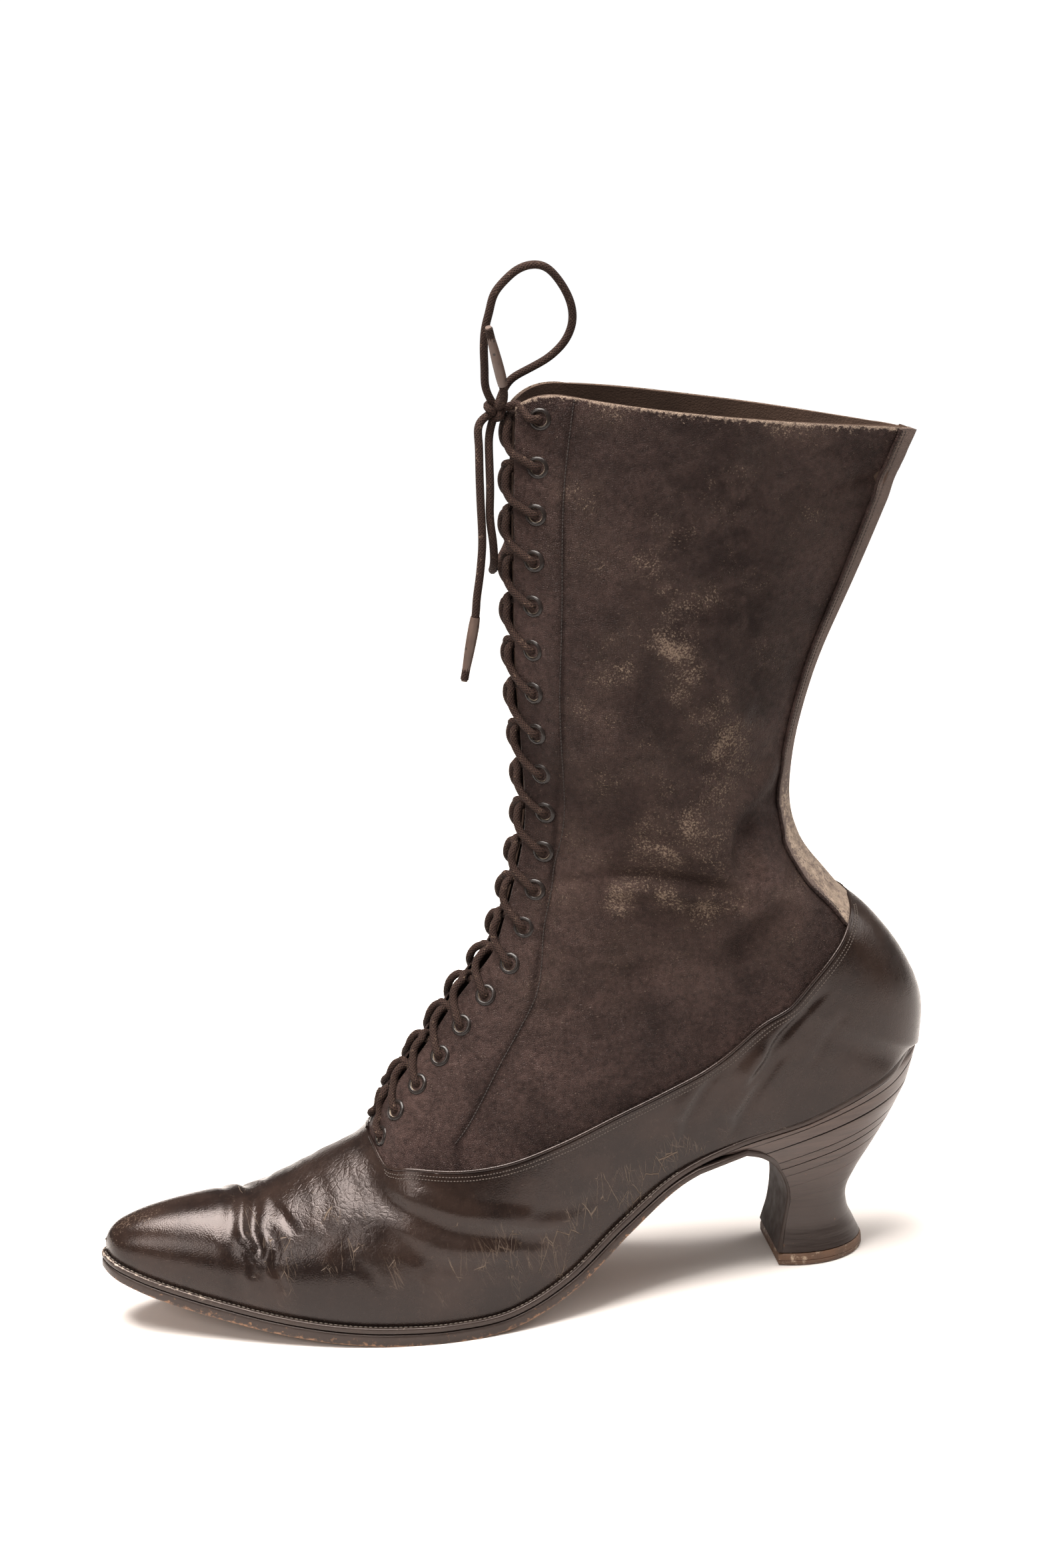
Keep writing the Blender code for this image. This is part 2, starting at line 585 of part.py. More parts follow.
def cord(name, points, radius, material, smooth_points=0):
    """A round cord on a curve through its points."""
    route = np.array(points, float)
    if smooth_points:
        places = np.linspace(0, len(route) - 1, smooth_points)
        route = np.array([curve_at(route, p) for p in places])
    line = bpy.data.curves.new(name, "CURVE")
    line.dimensions = "3D"
    line.bevel_depth = radius * MM
    line.bevel_resolution = 2 if LACE_SIDES > 6 else 1
    line.use_fill_caps = True
    spline = line.splines.new("POLY")
    spline.points.add(len(route) - 1)
    for spot, p in zip(spline.points, route):
        spot.co = (*(p * MM), 1.0)
    line.materials.append(material)
    made = bpy.data.objects.new(name, line)
    bpy.context.scene.collection.objects.link(made)
    return made


def curve_at(route, place):
    """A point on the smooth curve through a route's points."""
    i = min(int(place), len(route) - 2)
    t = place - i
    a, b, c, d = (route[min(max(k, 0), len(route) - 1)] for k in (i - 1, i, i + 1, i + 2))
    return 0.5 * (2 * b + (c - a) * t + (2 * a - 5 * b + 4 * c - d) * t**2 + (3 * b - a - 3 * c + d) * t**3)


def lacing_route(first_side):
    """One half of the lace, zigzagging up over the lacing edges from eyelet to eyelet."""
    places = lacing_edge_places()
    lift = GAP + EYELET_THICK + LACE_RADIUS + 1.6
    route = []
    side = first_side
    for k, s in enumerate(places):
        point, normal = eyelet_place(s, side)
        route.append(point + normal * lift)
        if k + 1 == len(places):
            break
        ahead = places[k + 1]
        for share, turn in ((0.28, side), (0.72, -side)):
            row = section(s + (ahead - s) * share)
            front = np.array((row["front_x"], row["middle"], row["front_z"]))
            base = np.array((row["base_x"], row["middle"], row["base_z"]))
            forward = (front - base) / np.linalg.norm(front - base)
            route.append(front + forward * LACE_ARCH + np.array((0.0, turn * (row["edge"] - 0.6), 0.0)))
        side = -side
    return route


def mesh_of(made):
    """A curve object turned into a mesh object with the same name."""
    graph = bpy.context.evaluated_depsgraph_get()
    mesh = bpy.data.meshes.new_from_object(made.evaluated_get(graph))
    shape = bmesh.new()
    shape.from_mesh(mesh)
    bmesh.ops.remove_doubles(shape, verts=shape.verts, dist=1e-6)
    bmesh.ops.recalc_face_normals(shape, faces=shape.faces)
    shape.to_mesh(mesh)
    shape.free()
    name = made.name
    material = made.data.materials[0]
    bpy.data.objects.remove(made, do_unlink=True)
    return add_object(name, mesh, material)


def from_knot(point):
    """The place just off the knot where a cord that heads for a point leaves it."""
    way = np.array(point) - np.array(KNOT)
    surface = way / np.linalg.norm(way / np.array(KNOT_RADII))
    return np.array(KNOT) + surface + GAP * way / np.linalg.norm(way)


def make_lace(material):
    lacing = mesh_of(cord("lacing", lacing_route(OUTER), LACE_RADIUS, material))
    other = mesh_of(cord("lacing_other_half", lacing_route(INNER), LACE_RADIUS, material))
    join = lacing.modifiers.new("crossings", "BOOLEAN")
    join.operation = "UNION"
    join.object = other
    other.hide_render = True
    other.display_type = "WIRE"
    knot = bpy.data.meshes.new("lace_knot")
    shape = bmesh.new()
    bmesh.ops.create_icosphere(shape, subdivisions=2, radius=1.0)
    for v in shape.verts:
        v.co = Vector([KNOT[i] + v.co[i] * KNOT_RADII[i] for i in range(3)]) * MM
    shape.to_mesh(knot)
    shape.free()
    add_object("lace_knot", knot, material)
    loop_up = [from_knot(LOOP_UP[0]), *LOOP_UP, from_knot(LOOP_UP[-1])]
    loop_down = [from_knot(LOOP_DOWN[0]), *LOOP_DOWN, from_knot(LOOP_DOWN[-1])]
    cord("lace_loop_up", loop_up, LACE_RADIUS, material, 32)
    cord("lace_loop_down", loop_down, LACE_RADIUS, material, 30)
    cord("lace_end_up", [from_knot(END_UP[0]), *END_UP], LACE_RADIUS, material, 4)
    cord("lace_end_down", [from_knot(END_DOWN[0]), *END_DOWN], LACE_RADIUS, material, 16)


def main():
    clear_scene()
    kid = leather("shaft_kid", (0.045, 0.036, 0.032), 0.62)
    glace = leather("golosh_glace", (0.018, 0.015, 0.014), 0.28)
    worn = leather("back_strip_worn", (0.16, 0.125, 0.095), 0.75)
    lining = leather("lining", (0.17, 0.12, 0.085), 0.8)
    sole = leather("sole_edge", (0.02, 0.017, 0.016), 0.45)
    stack = leather("heel_stack", (0.028, 0.024, 0.022), 0.4)
    tread = leather("top_piece_leather", (0.09, 0.05, 0.03), 0.7)
    enamel = leather("eyelet_enamel", (0.02, 0.018, 0.017), 0.3, 0.6)
    cotton = leather("lace_cotton", (0.05, 0.034, 0.027), 0.85)
    tin = leather("aglet_tin", (0.16, 0.10, 0.08), 0.5, 0.3)

    upper = make_upper(kid)
    make_golosh(glace)
    make_back_strip(worn)
    make_tongue(kid)
    make_insole(lining)
    make_welt(sole)
    make_outsole(sole)
    make_heel(stack)
    make_top_piece(tread)
    make_eyelets(enamel, upper)
    make_lace(cotton)
    cord("aglet_up", AGLET_UP, AGLET_RADIUS, tin)
    cord("aglet_down", AGLET_DOWN, AGLET_RADIUS, tin)


main()
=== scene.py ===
"""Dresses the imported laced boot: leather, stitching, eyelets, lace, sole and heel, on a pale studio floor."""

import math

import bmesh
import bpy
import numpy as np
from mathutils import Matrix, Vector


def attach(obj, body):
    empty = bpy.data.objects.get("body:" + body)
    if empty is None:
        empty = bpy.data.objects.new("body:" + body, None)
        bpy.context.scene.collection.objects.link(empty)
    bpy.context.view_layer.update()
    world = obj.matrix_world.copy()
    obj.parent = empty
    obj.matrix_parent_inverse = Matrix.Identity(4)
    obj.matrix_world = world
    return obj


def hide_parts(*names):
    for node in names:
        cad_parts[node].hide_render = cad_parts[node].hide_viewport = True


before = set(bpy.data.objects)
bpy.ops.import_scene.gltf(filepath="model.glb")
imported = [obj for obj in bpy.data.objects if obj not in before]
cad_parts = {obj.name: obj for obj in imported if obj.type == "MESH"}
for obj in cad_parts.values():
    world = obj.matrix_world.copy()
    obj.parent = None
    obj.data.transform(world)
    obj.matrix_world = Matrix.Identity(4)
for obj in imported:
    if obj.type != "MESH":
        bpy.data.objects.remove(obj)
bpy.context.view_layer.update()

# Lining: thin brown leather inside the boot, from the collar down to the insole.
# It is drawn on the sections of the last, as the leg, golosh and sole are after it.
# A section runs from its front point, on the ridge of the foot or the lacing edge, to its base.
MM = 0.001
OUTER, INNER = -1, 1
THROAT, HEEL_BACK, COLLAR = 9, 18, 27
COLLAR_CORNER, COLLAR_CORNER_DROP = 0.12, 0.26
LAST_COLUMNS = ("front_x", "front_z", "base_x", "base_z", "middle", "wide_out", "wide_in",
                "sole_out", "sole_in", "wide_at", "front_round", "back_round", "edge")
LAST = np.array((
    (-124.9, 27.2, -125.0, 23.7, 5.0, 0.0, 0.0, 0.0, 0.0, 0.70, 2.00, 1.0, 0.0),
    (-123.6, 29.4, -123.6, 23.0, 4.9, 4.3, 4.3, 3.9, 3.9, 0.70, 2.00, 1.0, 0.0),
    (-120.4, 31.9, -120.4, 21.4, 4.7, 7.6, 7.6, 7.0, 7.0, 0.70, 2.00, 1.0, 0.0),
    (-113.0, 34.6, -113.0, 18.6, 4.2, 11.7, 11.7, 10.9, 10.9, 0.70, 2.00, 1.0, 0.0),
    (-102.0, 36.9, -102.0, 15.4, 3.4, 16.3, 16.3, 15.3, 15.3, 0.71, 1.95, 1.0, 0.0),
    (-91.0, 38.2, -91.0, 12.7, 2.6, 20.4, 20.6, 19.3, 19.5, 0.72, 1.90, 1.0, 0.0),
    (-80.0, 38.6, -80.0, 10.3, 1.8, 24.4, 24.8, 23.1, 23.5, 0.73, 1.85, 1.0, 0.0),
    (-68.0, 43.4, -68.0, 8.3, 1.0, 28.2, 28.7, 26.7, 27.2, 0.74, 1.75, 1.0, 0.0),
    (-56.0, 49.0, -56.0, 7.0, 0.4, 31.4, 32.6, 29.8, 31.0, 0.75, 1.65, 1.0, 0.0),
    (-44.6, 55.4, -43.0, 6.3, 0.0, 33.6, 34.4, 32.0, 32.7, 0.76, 1.55, 1.0, 0.0),
    (-39.2, 67.2, -27.0, 6.1, -0.2, 34.4, 33.6, 33.0, 31.6, 0.76, 1.45, 1.0, 2.6),
    (-32.0, 77.0, -9.0, 7.4, 0.2, 33.2, 31.2, 31.6, 28.0, 0.74, 1.40, 1.0, 3.6),
    (-24.5, 86.2, 9.0, 15.0, 1.0, 31.2, 28.4, 28.6, 23.4, 0.70, 1.40, 1.0, 4.0),
    (-17.0, 96.2, 27.0, 28.9, 1.9, 29.4, 27.0, 25.4, 20.6, 0.66, 1.40, 1.0, 4.2),
    (-10.0, 104.3, 45.0, 41.3, 2.6, 28.2, 26.4, 23.2, 19.4, 0.62, 1.40, 1.0, 4.4),
    (-4.6, 111.0, 65.0, 48.8, 3.0, 27.4, 26.2, 22.5, 20.8, 0.60, 1.40, 1.0, 4.5),
    (-1.2, 119.5, 88.0, 54.2, 3.2, 26.8, 26.2, 22.6, 22.0, 0.60, 1.40, 1.0, 4.5),
    (1.6, 128.5, 111.0, 63.2, 3.2, 26.2, 25.8, 18.6, 18.4, 0.60, 1.40, 1.2, 4.5),
    (3.8, 136.8, 125.4, 67.2, 3.2, 25.8, 25.4, 0.0, 0.0, 0.60, 1.35, 2.2, 4.5),
    (5.6, 144.2, 125.9, 82.0, 3.2, 25.4, 25.2, 0.0, 0.0, 0.60, 1.35, 2.3, 4.5),
    (6.7, 152.5, 120.8, 95.8, 3.2, 25.0, 24.8, 0.0, 0.0, 0.58, 1.35, 2.2, 4.4),
    (7.0, 161.5, 111.4, 109.4, 3.2, 24.6, 24.4, 0.0, 0.0, 0.55, 1.35, 2.0, 4.3),
    (6.7, 171.5, 99.0, 121.6, 3.2, 24.2, 24.0, 0.0, 0.0, 0.50, 1.35, 1.7, 4.2),
    (6.2, 184.0, 88.6, 137.0, 3.2, 23.8, 23.8, 0.0, 0.0, 0.46, 1.35, 1.35, 4.1),
    (5.9, 201.0, 86.6, 155.4, 3.2, 23.0, 23.0, 0.0, 0.0, 0.44, 1.32, 1.15, 4.0),
    (6.3, 224.0, 94.8, 188.0, 3.2, 21.6, 21.6, 0.0, 0.0, 0.42, 1.25, 1.05, 4.0),
    (7.4, 252.0, 109.8, 222.0, 3.2, 18.2, 18.2, 0.0, 0.0, 0.40, 1.12, 1.0, 3.8),
    (9.3, 283.0, 126.2, 260.0, 3.2, 13.4, 13.4, 0.0, 0.0, 0.38, 1.02, 1.0, 3.5),
))
BASE_LINE, WIDTHS, SOLE_WIDTHS, EDGE = slice(2, 4), [5, 6, 7, 8, 12], slice(7, 9), 12

# Creases worn into the leather, drawn in the side view: width, height, then points (x, z), in millimetres.
# A negative height is a trough. The first ones cross the ridge of the foot and are alike on both sides.
CREASES = (
    (4.0, -0.50, ((-84, 40), (-88, 36), (-90, 32), (-89, 26), (-89, 19), (-87, 14))),
    (3.4, 0.70, ((-80.5, 42), (-83.5, 38.5), (-85.5, 36), (-86, 33), (-84.5, 30), (-84.5, 27))),
    (3.0, -0.95, ((-77, 43), (-80.5, 39.5), (-82.0, 36.5), (-83.5, 33), (-81.5, 29.5), (-82, 26.5))),
    (2.4, 0.40, ((-80.5, 33), (-79.0, 29), (-80.0, 25), (-78.0, 20))),
    (2.2, -0.45, ((-77.5, 34), (-76.5, 29), (-78.0, 25.5), (-76, 20), (-77, 17))),
    (2.2, -0.55, ((-86.5, 31), (-84.5, 26), (-84.0, 21))),
    (2.4, -0.45, ((-77.5, 38), (-73.5, 37), (-70.0, 33))),
    (4.0, -0.16, ((-68, 45), (-67, 40), (-68.5, 36), (-67, 30))),
    (3.2, -0.18, ((-62, 47), (-60.5, 42), (-62, 37), (-60, 33))),
    (4.0, -0.24, ((-55, 50), (-53, 45), (-53, 40), (-56, 32), (-61, 24))),
    (3.0, -0.40, ((-58, 30), (-50, 24), (-47, 17))),
    (4.0, -0.32, ((-48, 50), (-46, 46), (-42, 43), (-37, 42))),
    (5.2, 0.85, ((-44, 49), (-38, 47), (-31, 44), (-24, 40), (-15, 38), (4, 34), (16, 32))),
    (4.8, -0.90, ((-50, 44), (-43, 42), (-34, 39), (-23, 35), (-12, 32), (-1, 29), (10, 28))),
    (4.6, 0.70, ((-33, 32), (-23, 29), (-13, 27), (-3, 27))),
    (4.4, -0.70, ((-48, 35), (-41, 33), (-32, 27), (-24, 22))),
    (3.5, -0.45, ((-36, 26), (-28, 18), (-24, 13))),
    (4.0, -0.45, ((-4, 36), (10, 36), (22, 40))),
    (2.6, -0.95, ((93, 97), (87, 92), (78, 83), (73, 75), (66, 66))),
    (4.2, 0.90, ((88, 97), (82, 92), (74, 84), (69, 76), (63, 68))),
    (2.6, -0.85, ((80, 80), (71, 67), (65, 57), (63, 49))),
    (4.2, 0.80, ((75, 81), (66, 68), (60, 57))),
    (2.6, -0.75, ((60, 77), (55, 71), (49, 60), (47, 50))),
    (4.2, 0.70, ((55, 76), (50, 70), (44, 59))),
    (2.4, -0.30, ((99, 88), (92, 80), (86, 70))),
    (3.2, -1.70, ((24, 136), (33, 136), (41, 136), (52, 134), (63, 131), (69, 128))),
    (6.0, -0.90, ((24, 139), (40, 139), (55, 137), (66, 134))),
    (3.6, 1.10, ((27, 132), (42, 132), (52, 129.5), (63, 127.5))),
    (4.4, -0.90, ((28, 123), (41, 122), (50, 123), (60, 125), (67, 127))),
    (3.5, -0.70, ((12, 134), (22, 134), (30, 135))),
    (4.0, -0.60, ((34, 148), (50, 146), (61, 145))),
    (5.6, -2.30, ((75, 148), (72, 145), (70.5, 140), (71, 134), (72, 130))),
    (2.4, -1.10, ((74, 150), (70, 149), (68, 145), (67, 140), (68, 134))),
    (2.8, 0.80, ((74, 151.5), (78, 149.5), (82, 146), (82.5, 142), (81, 138))),
    (5.5, 1.20, ((86, 163), (82, 161), (78, 157), (72, 153.5), (64, 149))),
    (4.0, 0.80, ((74, 137), (78, 133), (83, 130))),
    (2.0, -0.55, ((61, 129), (65, 127.5), (70, 125))),
    (2.0, -0.45, ((63, 123), (66, 125.5), (69, 129))),
    (2.6, -0.45, ((18, 118), (30, 116), (44, 117), (56, 119))),
    (2.4, -0.40, ((24, 129), (33, 128), (40, 126))),
    (2.6, -0.40, ((10, 113), (24, 112), (38, 113))),
    (6.5, 1.10, ((56, 109), (62, 115), (68, 120), (78, 125))),
    (6.5, -1.25, ((62, 108), (68, 114), (76, 119), (87, 123))),
    (4.6, -0.85, ((18, 107), (32, 106), (46, 108))),
    (4.6, -0.70, ((4, 95), (18, 98), (34, 104))),
    (7.0, -0.60, ((45, 185), (52, 172), (66, 166))),
    (8.0, 0.70, ((58, 196), (66, 186), (76, 181))),
    (2.8, -0.75, ((124, 246), (118, 247), (110, 252), (98, 258))),
    (2.6, -0.65, ((124, 242), (118, 244), (110, 246), (99, 245))),
    (2.6, -0.60, ((125, 251), (119, 250), (113, 253), (102, 260))),
    (3.4, 0.50, ((122, 249), (114, 250), (104, 252))),
    (2.6, -0.40, ((118, 236), (110, 238), (100, 236))),
    (7.0, -1.20, ((130, 242), (117, 245), (106, 246))),
    (6.0, 0.80, ((134, 263), (126, 260), (119, 258))),
)
# The golosh's top edge: section, share of the way down it, and its slopes at the heel's back corner
GOLOSH_EDGE = np.array((
    (9.0, 0.0), (9.25, 0.12), (9.6, 0.19), (10.0, 0.24), (11.0, 0.36), (12.0, 0.47), (13.0, 0.58),
    (14.0, 0.65), (15.0, 0.67), (16.0, 0.66), (17.0, 0.64), (18.0, 0.64), (19.0, 0.70),
    (20.0, 0.79), (21.0, 0.91), (21.6, 1.0),
))
GOLOSH_TURN = (-0.021, 0.061)
LINING_THICK, LINING_GAP = 0.6, 0.06
LEG_THICK = 0.9


def cubic(a, b, c, d, t):
    """A smooth curve from b to c, led by the points a before it and d after it."""
    return 0.5 * (2 * b + (c - a) * t + (2 * a - 5 * b + 4 * c - d) * t**2 + (3 * b - a - 3 * c + d) * t**3)


def section(s):
    """The last's rows at places s between them, joined by a smooth curve with a corner at the heel's back."""
    s = np.asarray(s, float)
    i = np.clip(np.floor(s).astype(int), 0, COLLAR - 1)
    t = (s - i)[..., None]
    a, b, c, d = (LAST[np.clip(i + k, 0, COLLAR)].copy() for k in (-1, 0, 1, 2))
    before, after = i == HEEL_BACK - 1, i == HEEL_BACK
    d[before, BASE_LINE] = 2 * c[before, BASE_LINE] - b[before, BASE_LINE]
    a[after, BASE_LINE] = 2 * b[after, BASE_LINE] - c[after, BASE_LINE]
    row = cubic(a, b, c, d, t)
    row[..., WIDTHS] = np.maximum(row[..., WIDTHS], 0.0)
    row[s >= HEEL_BACK, SOLE_WIDTHS] = 0.0
    row[s <= THROAT, EDGE] = 0.0
    return {name: row[..., k] for k, name in enumerate(LAST_COLUMNS)}


def last_point(s, h, side):
    """Points of the upper's outer face: section s, share h of the way from its front to its base."""
    s, h = np.broadcast_arrays(np.atleast_1d(np.asarray(s, float)), np.asarray(h, float))
    row = section(s)
    wide, base = (row["wide_out"], row["sole_out"]) if side == OUTER else (row["wide_in"], row["sole_in"])
    at, edge = row["wide_at"], row["edge"]
    front = edge + (wide - edge) * np.clip(1 - (1 - h / at) ** 2, 0, 1) ** (1 / row["front_round"])
    back = base + (wide - base) * np.clip(1 - ((h - at) / (1 - at)) ** 2, 0, 1) ** (1 / row["back_round"])
    half = np.where(h <= at, front, back)
    x = row["front_x"] + (row["base_x"] - row["front_x"]) * h
    z = row["front_z"] + (row["base_z"] - row["front_z"]) * h
    return np.stack((x, row["middle"] + side * half, z), -1)


def unit(v):
    return v / np.maximum(np.linalg.norm(v, axis=-1, keepdims=True), 1e-9)


def outward(s, h, side):
    """The outward direction of one side of the upper, from nearby points."""
    step = 0.01
    along = last_point(np.minimum(s + step, COLLAR), h, side) - last_point(np.maximum(s - step, 0), h, side)
    down = last_point(s, np.minimum(h + step, 1), side) - last_point(s, np.maximum(h - step, 0), side)
    return unit(np.cross(along, down) * side)


def skin(s, h, side, offset):
    """Points of the upper moved outwards by offset. Where the two sides meet they move together."""
    s, h, offset = np.broadcast_arrays(*(np.atleast_1d(np.asarray(v, float)) for v in (s, h, offset)))
    joined = (s < 1e-6) | ((h > 1 - 1e-6) & (s >= HEEL_BACK)) | ((h < 1e-6) & (s <= THROAT))
    near_s, near_h = np.maximum(s, 0.03), np.clip(h, 0.004, 0.996)
    outer, inner = outward(near_s, near_h, OUTER), outward(near_s, near_h, INNER)
    both = outer + inner
    both[..., 1] = 0.0
    both = unit(both)
    reach = np.maximum((both * outer).sum(-1), np.where(s > THROAT, 0.42, 0.85))
    away = np.where(joined[..., None], both / reach[..., None], outer if side == OUTER else inner)
    return last_point(s, h, side) + away * offset[..., None]


def along_line(points, x, z):
    """Distance from points of the side view to a line, and the share of the way along it."""
    line = np.array(points, float)
    steps = np.linalg.norm(np.diff(line, axis=0), axis=1)
    best, share = np.full(np.shape(x), 1e9), np.zeros(np.shape(x))
    done = 0.0
    for a, b, length in zip(line, line[1:], steps):
        t = np.clip(((x - a[0]) * (b - a)[0] + (z - a[1]) * (b - a)[1]) / length**2, 0, 1)
        far = np.hypot(x - a[0] - t * (b - a)[0], z - a[1] - t * (b - a)[1])
        share = np.where(far < best, (done + t * length) / steps.sum(), share)
        best = np.minimum(best, far)
        done += length
    return best, share


def smooth_step(low, high, value):
    t = np.clip((value - low) / (high - low), 0, 1)
    return t * t * (3 - 2 * t)


def golosh_edge(s):
    """Share down each section of the golosh's top edge, as one smooth line."""
    places, shares = GOLOSH_EDGE.T
    leave = np.gradient(shares, places)
    arrive = leave.copy()
    arrive[places == HEEL_BACK], leave[places == HEEL_BACK] = GOLOSH_TURN
    i = np.clip(np.searchsorted(places, s) - 1, 0, len(places) - 2)
    wide = places[i + 1] - places[i]
    t = np.clip((s - places[i]) / wide, 0, 1)
    a, b = shares[i], shares[i + 1]
    bent = ((2 * t**3 - 3 * t**2 + 1) * a + (t**3 - 2 * t**2 + t) * wide * leave[i]
            + (3 * t**2 - 2 * t**3) * b + (t**3 - t**2) * wide * arrive[i + 1])
    return np.clip(np.where(s <= THROAT, 0.0, np.where(s >= places[-1], 1.0, bent)), 0, 1)


def relief(s, h, side):
    """How far creases and slackness lift the leather off the last."""
    place = last_point(s, h, OUTER)
    x, z = place[..., 0], place[..., 2]
    if side == INNER:
        away = smooth_step(0.02, 0.35, h)
        x, z = x + 3.5 * away, z - 2.5 * away
    lift = np.zeros(x.shape)
    for width, height, points in CREASES:
        far, share = along_line(points, x, z)
        fall = np.clip(1 - (far / width) ** 2, 0, 1) ** 2
        fade = smooth_step(-0.02, 0.18, share) * smooth_step(-0.02, 0.18, 1 - share)
        over_ridge = 0.6 * (share < 0.3) * (points[0][1] > 39) * (points[0][0] < -45)
        lift = lift + height * fall * np.maximum(fade, over_ridge)
    slack = np.sin(x / 9.0 + z / 17.0) * np.sin(z / 13.0 - x / 31.0 + 1.3 * side) * 0.16
    slack = slack + np.sin(x / 5.3 - z / 7.1 + side) * np.sin(z / 6.2 + x / 19.0) * 0.07
    row = section(s)
    run = np.hypot(row["front_x"] - row["base_x"], row["front_z"] - row["base_z"])
    held = smooth_step(0.5, 6.5, np.abs(h - golosh_edge(s)) * run)
    held = np.where(s > THROAT, 1 - (1 - held) * 0.85 * smooth_step(THROAT, THROAT + 1, s), 1.0)
    return (lift + slack * smooth_step(60, 110, z)) * held


def collar_section(s, h):
    """The section of points on the collar, which is rounded off at the lacing."""
    drop = COLLAR_CORNER_DROP * np.clip(1 - h / COLLAR_CORNER, 0, 1) ** 2
    return np.where(s > COLLAR - 1, s - drop * (s - COLLAR + 1), s)


def welded(points):
    """The first of the points at each place, and the number of each point's place."""
    _, first, where = np.unique(np.round(points, 4), axis=0, return_index=True, return_inverse=True)
    return first, where.reshape(-1)


def quads_of(grid):
    """The corners of every cell of a grid of point numbers."""
    return np.stack((grid[:-1, :-1], grid[:-1, 1:], grid[1:, 1:], grid[1:, :-1]), -1).reshape(-1, 4)


def add_mark(mesh, name, values):
    """A number on each point of a mesh, which its material reads by name."""
    mesh.attributes.new(name, "FLOAT", "POINT").data.foreach_set("value", np.asarray(values, np.float32))


def turned_out(mesh):
    """The mesh with all its faces pointing outwards."""
    shape = bmesh.new()
    shape.from_mesh(mesh)
    bmesh.ops.recalc_face_normals(shape, faces=shape.faces)
    shape.to_mesh(mesh)
    shape.free()
    return mesh


def shell(name, sheets, marks=()):
    """A closed wall between two faces of the same grid. A sheet is (outer rows, inner rows, flip, marks)."""
    outer = np.concatenate([sheet[0].reshape(-1, 3) for sheet in sheets])
    inner = np.concatenate([sheet[1].reshape(-1, 3) for sheet in sheets])
    first, where = welded(outer)
    faces, start = [], 0
    for front, _, flip, *_ in sheets:
        rows, columns = front.shape[:2]
        quads = quads_of(where[start:start + rows * columns].reshape(rows, columns))
        start += rows * columns
        faces.append(quads[:, ::-1] if flip else quads)
    faces = [tuple(dict.fromkeys(quad)) for quad in np.concatenate(faces).tolist()]
    faces = [loop for loop in faces if len(loop) > 2]
    count = len(first)
    edges = set()
    for loop in faces:
        edges.update(zip(loop, loop[1:] + loop[:1]))
    rim = [(b, a, a + count, b + count) for a, b in edges if (b, a) not in edges]
    backs = [tuple(k + count for k in reversed(loop)) for loop in faces]
    mesh = bpy.data.meshes.new(name)
    mesh.from_pydata(np.concatenate((outer[first], inner[first])) * MM, [], faces + backs + rim)
    for k, mark in enumerate(marks):
        add_mark(mesh, mark, np.tile(np.concatenate([sheet[3][k].reshape(-1) for sheet in sheets])[first], 2))
    return turned_out(mesh)


def placed(name, data):
    """A new object in the scene, at the origin."""
    made = bpy.data.objects.new(name, data)
    bpy.context.scene.collection.objects.link(made)
    return made


def show(name, mesh, material, replaces=(), smooth=50):
    """Puts a finished mesh on the boot's body."""
    piece = placed(name, mesh)
    mesh.materials.clear()
    mesh.materials.append(material)
    mesh.shade_smooth()
    mesh.set_sharp_from_angle(angle=math.radians(smooth))
    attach(piece, "root")
    if replaces:
        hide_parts(*replaces)
    return piece


def run_length(points):
    """The length of a line up to each of its points."""
    return np.r_[0.0, np.cumsum(np.linalg.norm(np.diff(points, axis=0), axis=1))]


def even_sections(first, last, pitch, h):
    """Sections about one pitch apart, measured along the upper at share h."""
    fine = np.linspace(first, last, 800)
    length = run_length(last_point(fine, np.full(800, h), OUTER))
    return np.interp(np.linspace(0, length[-1], int(length[-1] / pitch) + 1), length, fine)


def end_shares(count, pull):
    """Shares from 0 to 1 that stand closer together towards both ends."""
    even = np.linspace(0, 1, count)
    return even - pull * np.sin(2 * np.pi * even)


def put(tree, kind, inputs=None, **settings):
    """A node with its settings and its inputs, each a value or another node's output."""
    node = tree.nodes.new(kind)
    for name, value in settings.items():
        setattr(node, name, value)
    for name, value in (inputs or {}).items():
        if isinstance(value, bpy.types.NodeSocket):
            tree.links.new(value, node.inputs[name])
        else:
            node.inputs[name].default_value = value
    return node


def group(name, inputs, outputs):
    """An empty shader group with float inputs, one vector input for the place, and float outputs."""
    tree = bpy.data.node_groups.new(name, "ShaderNodeTree")
    tree.interface.new_socket("Place", in_out="INPUT", socket_type="NodeSocketVector")
    for label, value in inputs.items():
        tree.interface.new_socket(label, in_out="INPUT", socket_type="NodeSocketFloat").default_value = value
    for label in outputs:
        tree.interface.new_socket(label, in_out="OUTPUT", socket_type="NodeSocketFloat")
    return tree, put(tree, "NodeGroupInput").outputs, put(tree, "NodeGroupOutput").inputs


def calc(tree, operation, a, b=0.0, c=0.0, clamp=False):
    return put(tree, "ShaderNodeMath", {0: a, 1: b, 2: c}, operation=operation, use_clamp=clamp).outputs[0]


def remap(tree, value, low, high, to_low=0.0, to_high=1.0):
    return put(tree, "ShaderNodeMapRange", {"Value": value, "From Min": low, "From Max": high,
                                            "To Min": to_low, "To Max": to_high}).outputs["Result"]


def mix(tree, factor, a, b):
    """A colour from a to b, each three numbers or another node's output."""
    a, b = (v if isinstance(v, bpy.types.NodeSocket) else (*v, 1.0) for v in (a, b))
    return put(tree, "ShaderNodeMix", {"Factor": factor, 6: a, 7: b}, data_type="RGBA").outputs[2]


def tint(tree, tone, mask, share, colour, clamp=False):
    """A tone with a share of another colour laid over it where a mask shows."""
    return mix(tree, calc(tree, "MULTIPLY", mask, share, clamp=clamp), tone, colour)


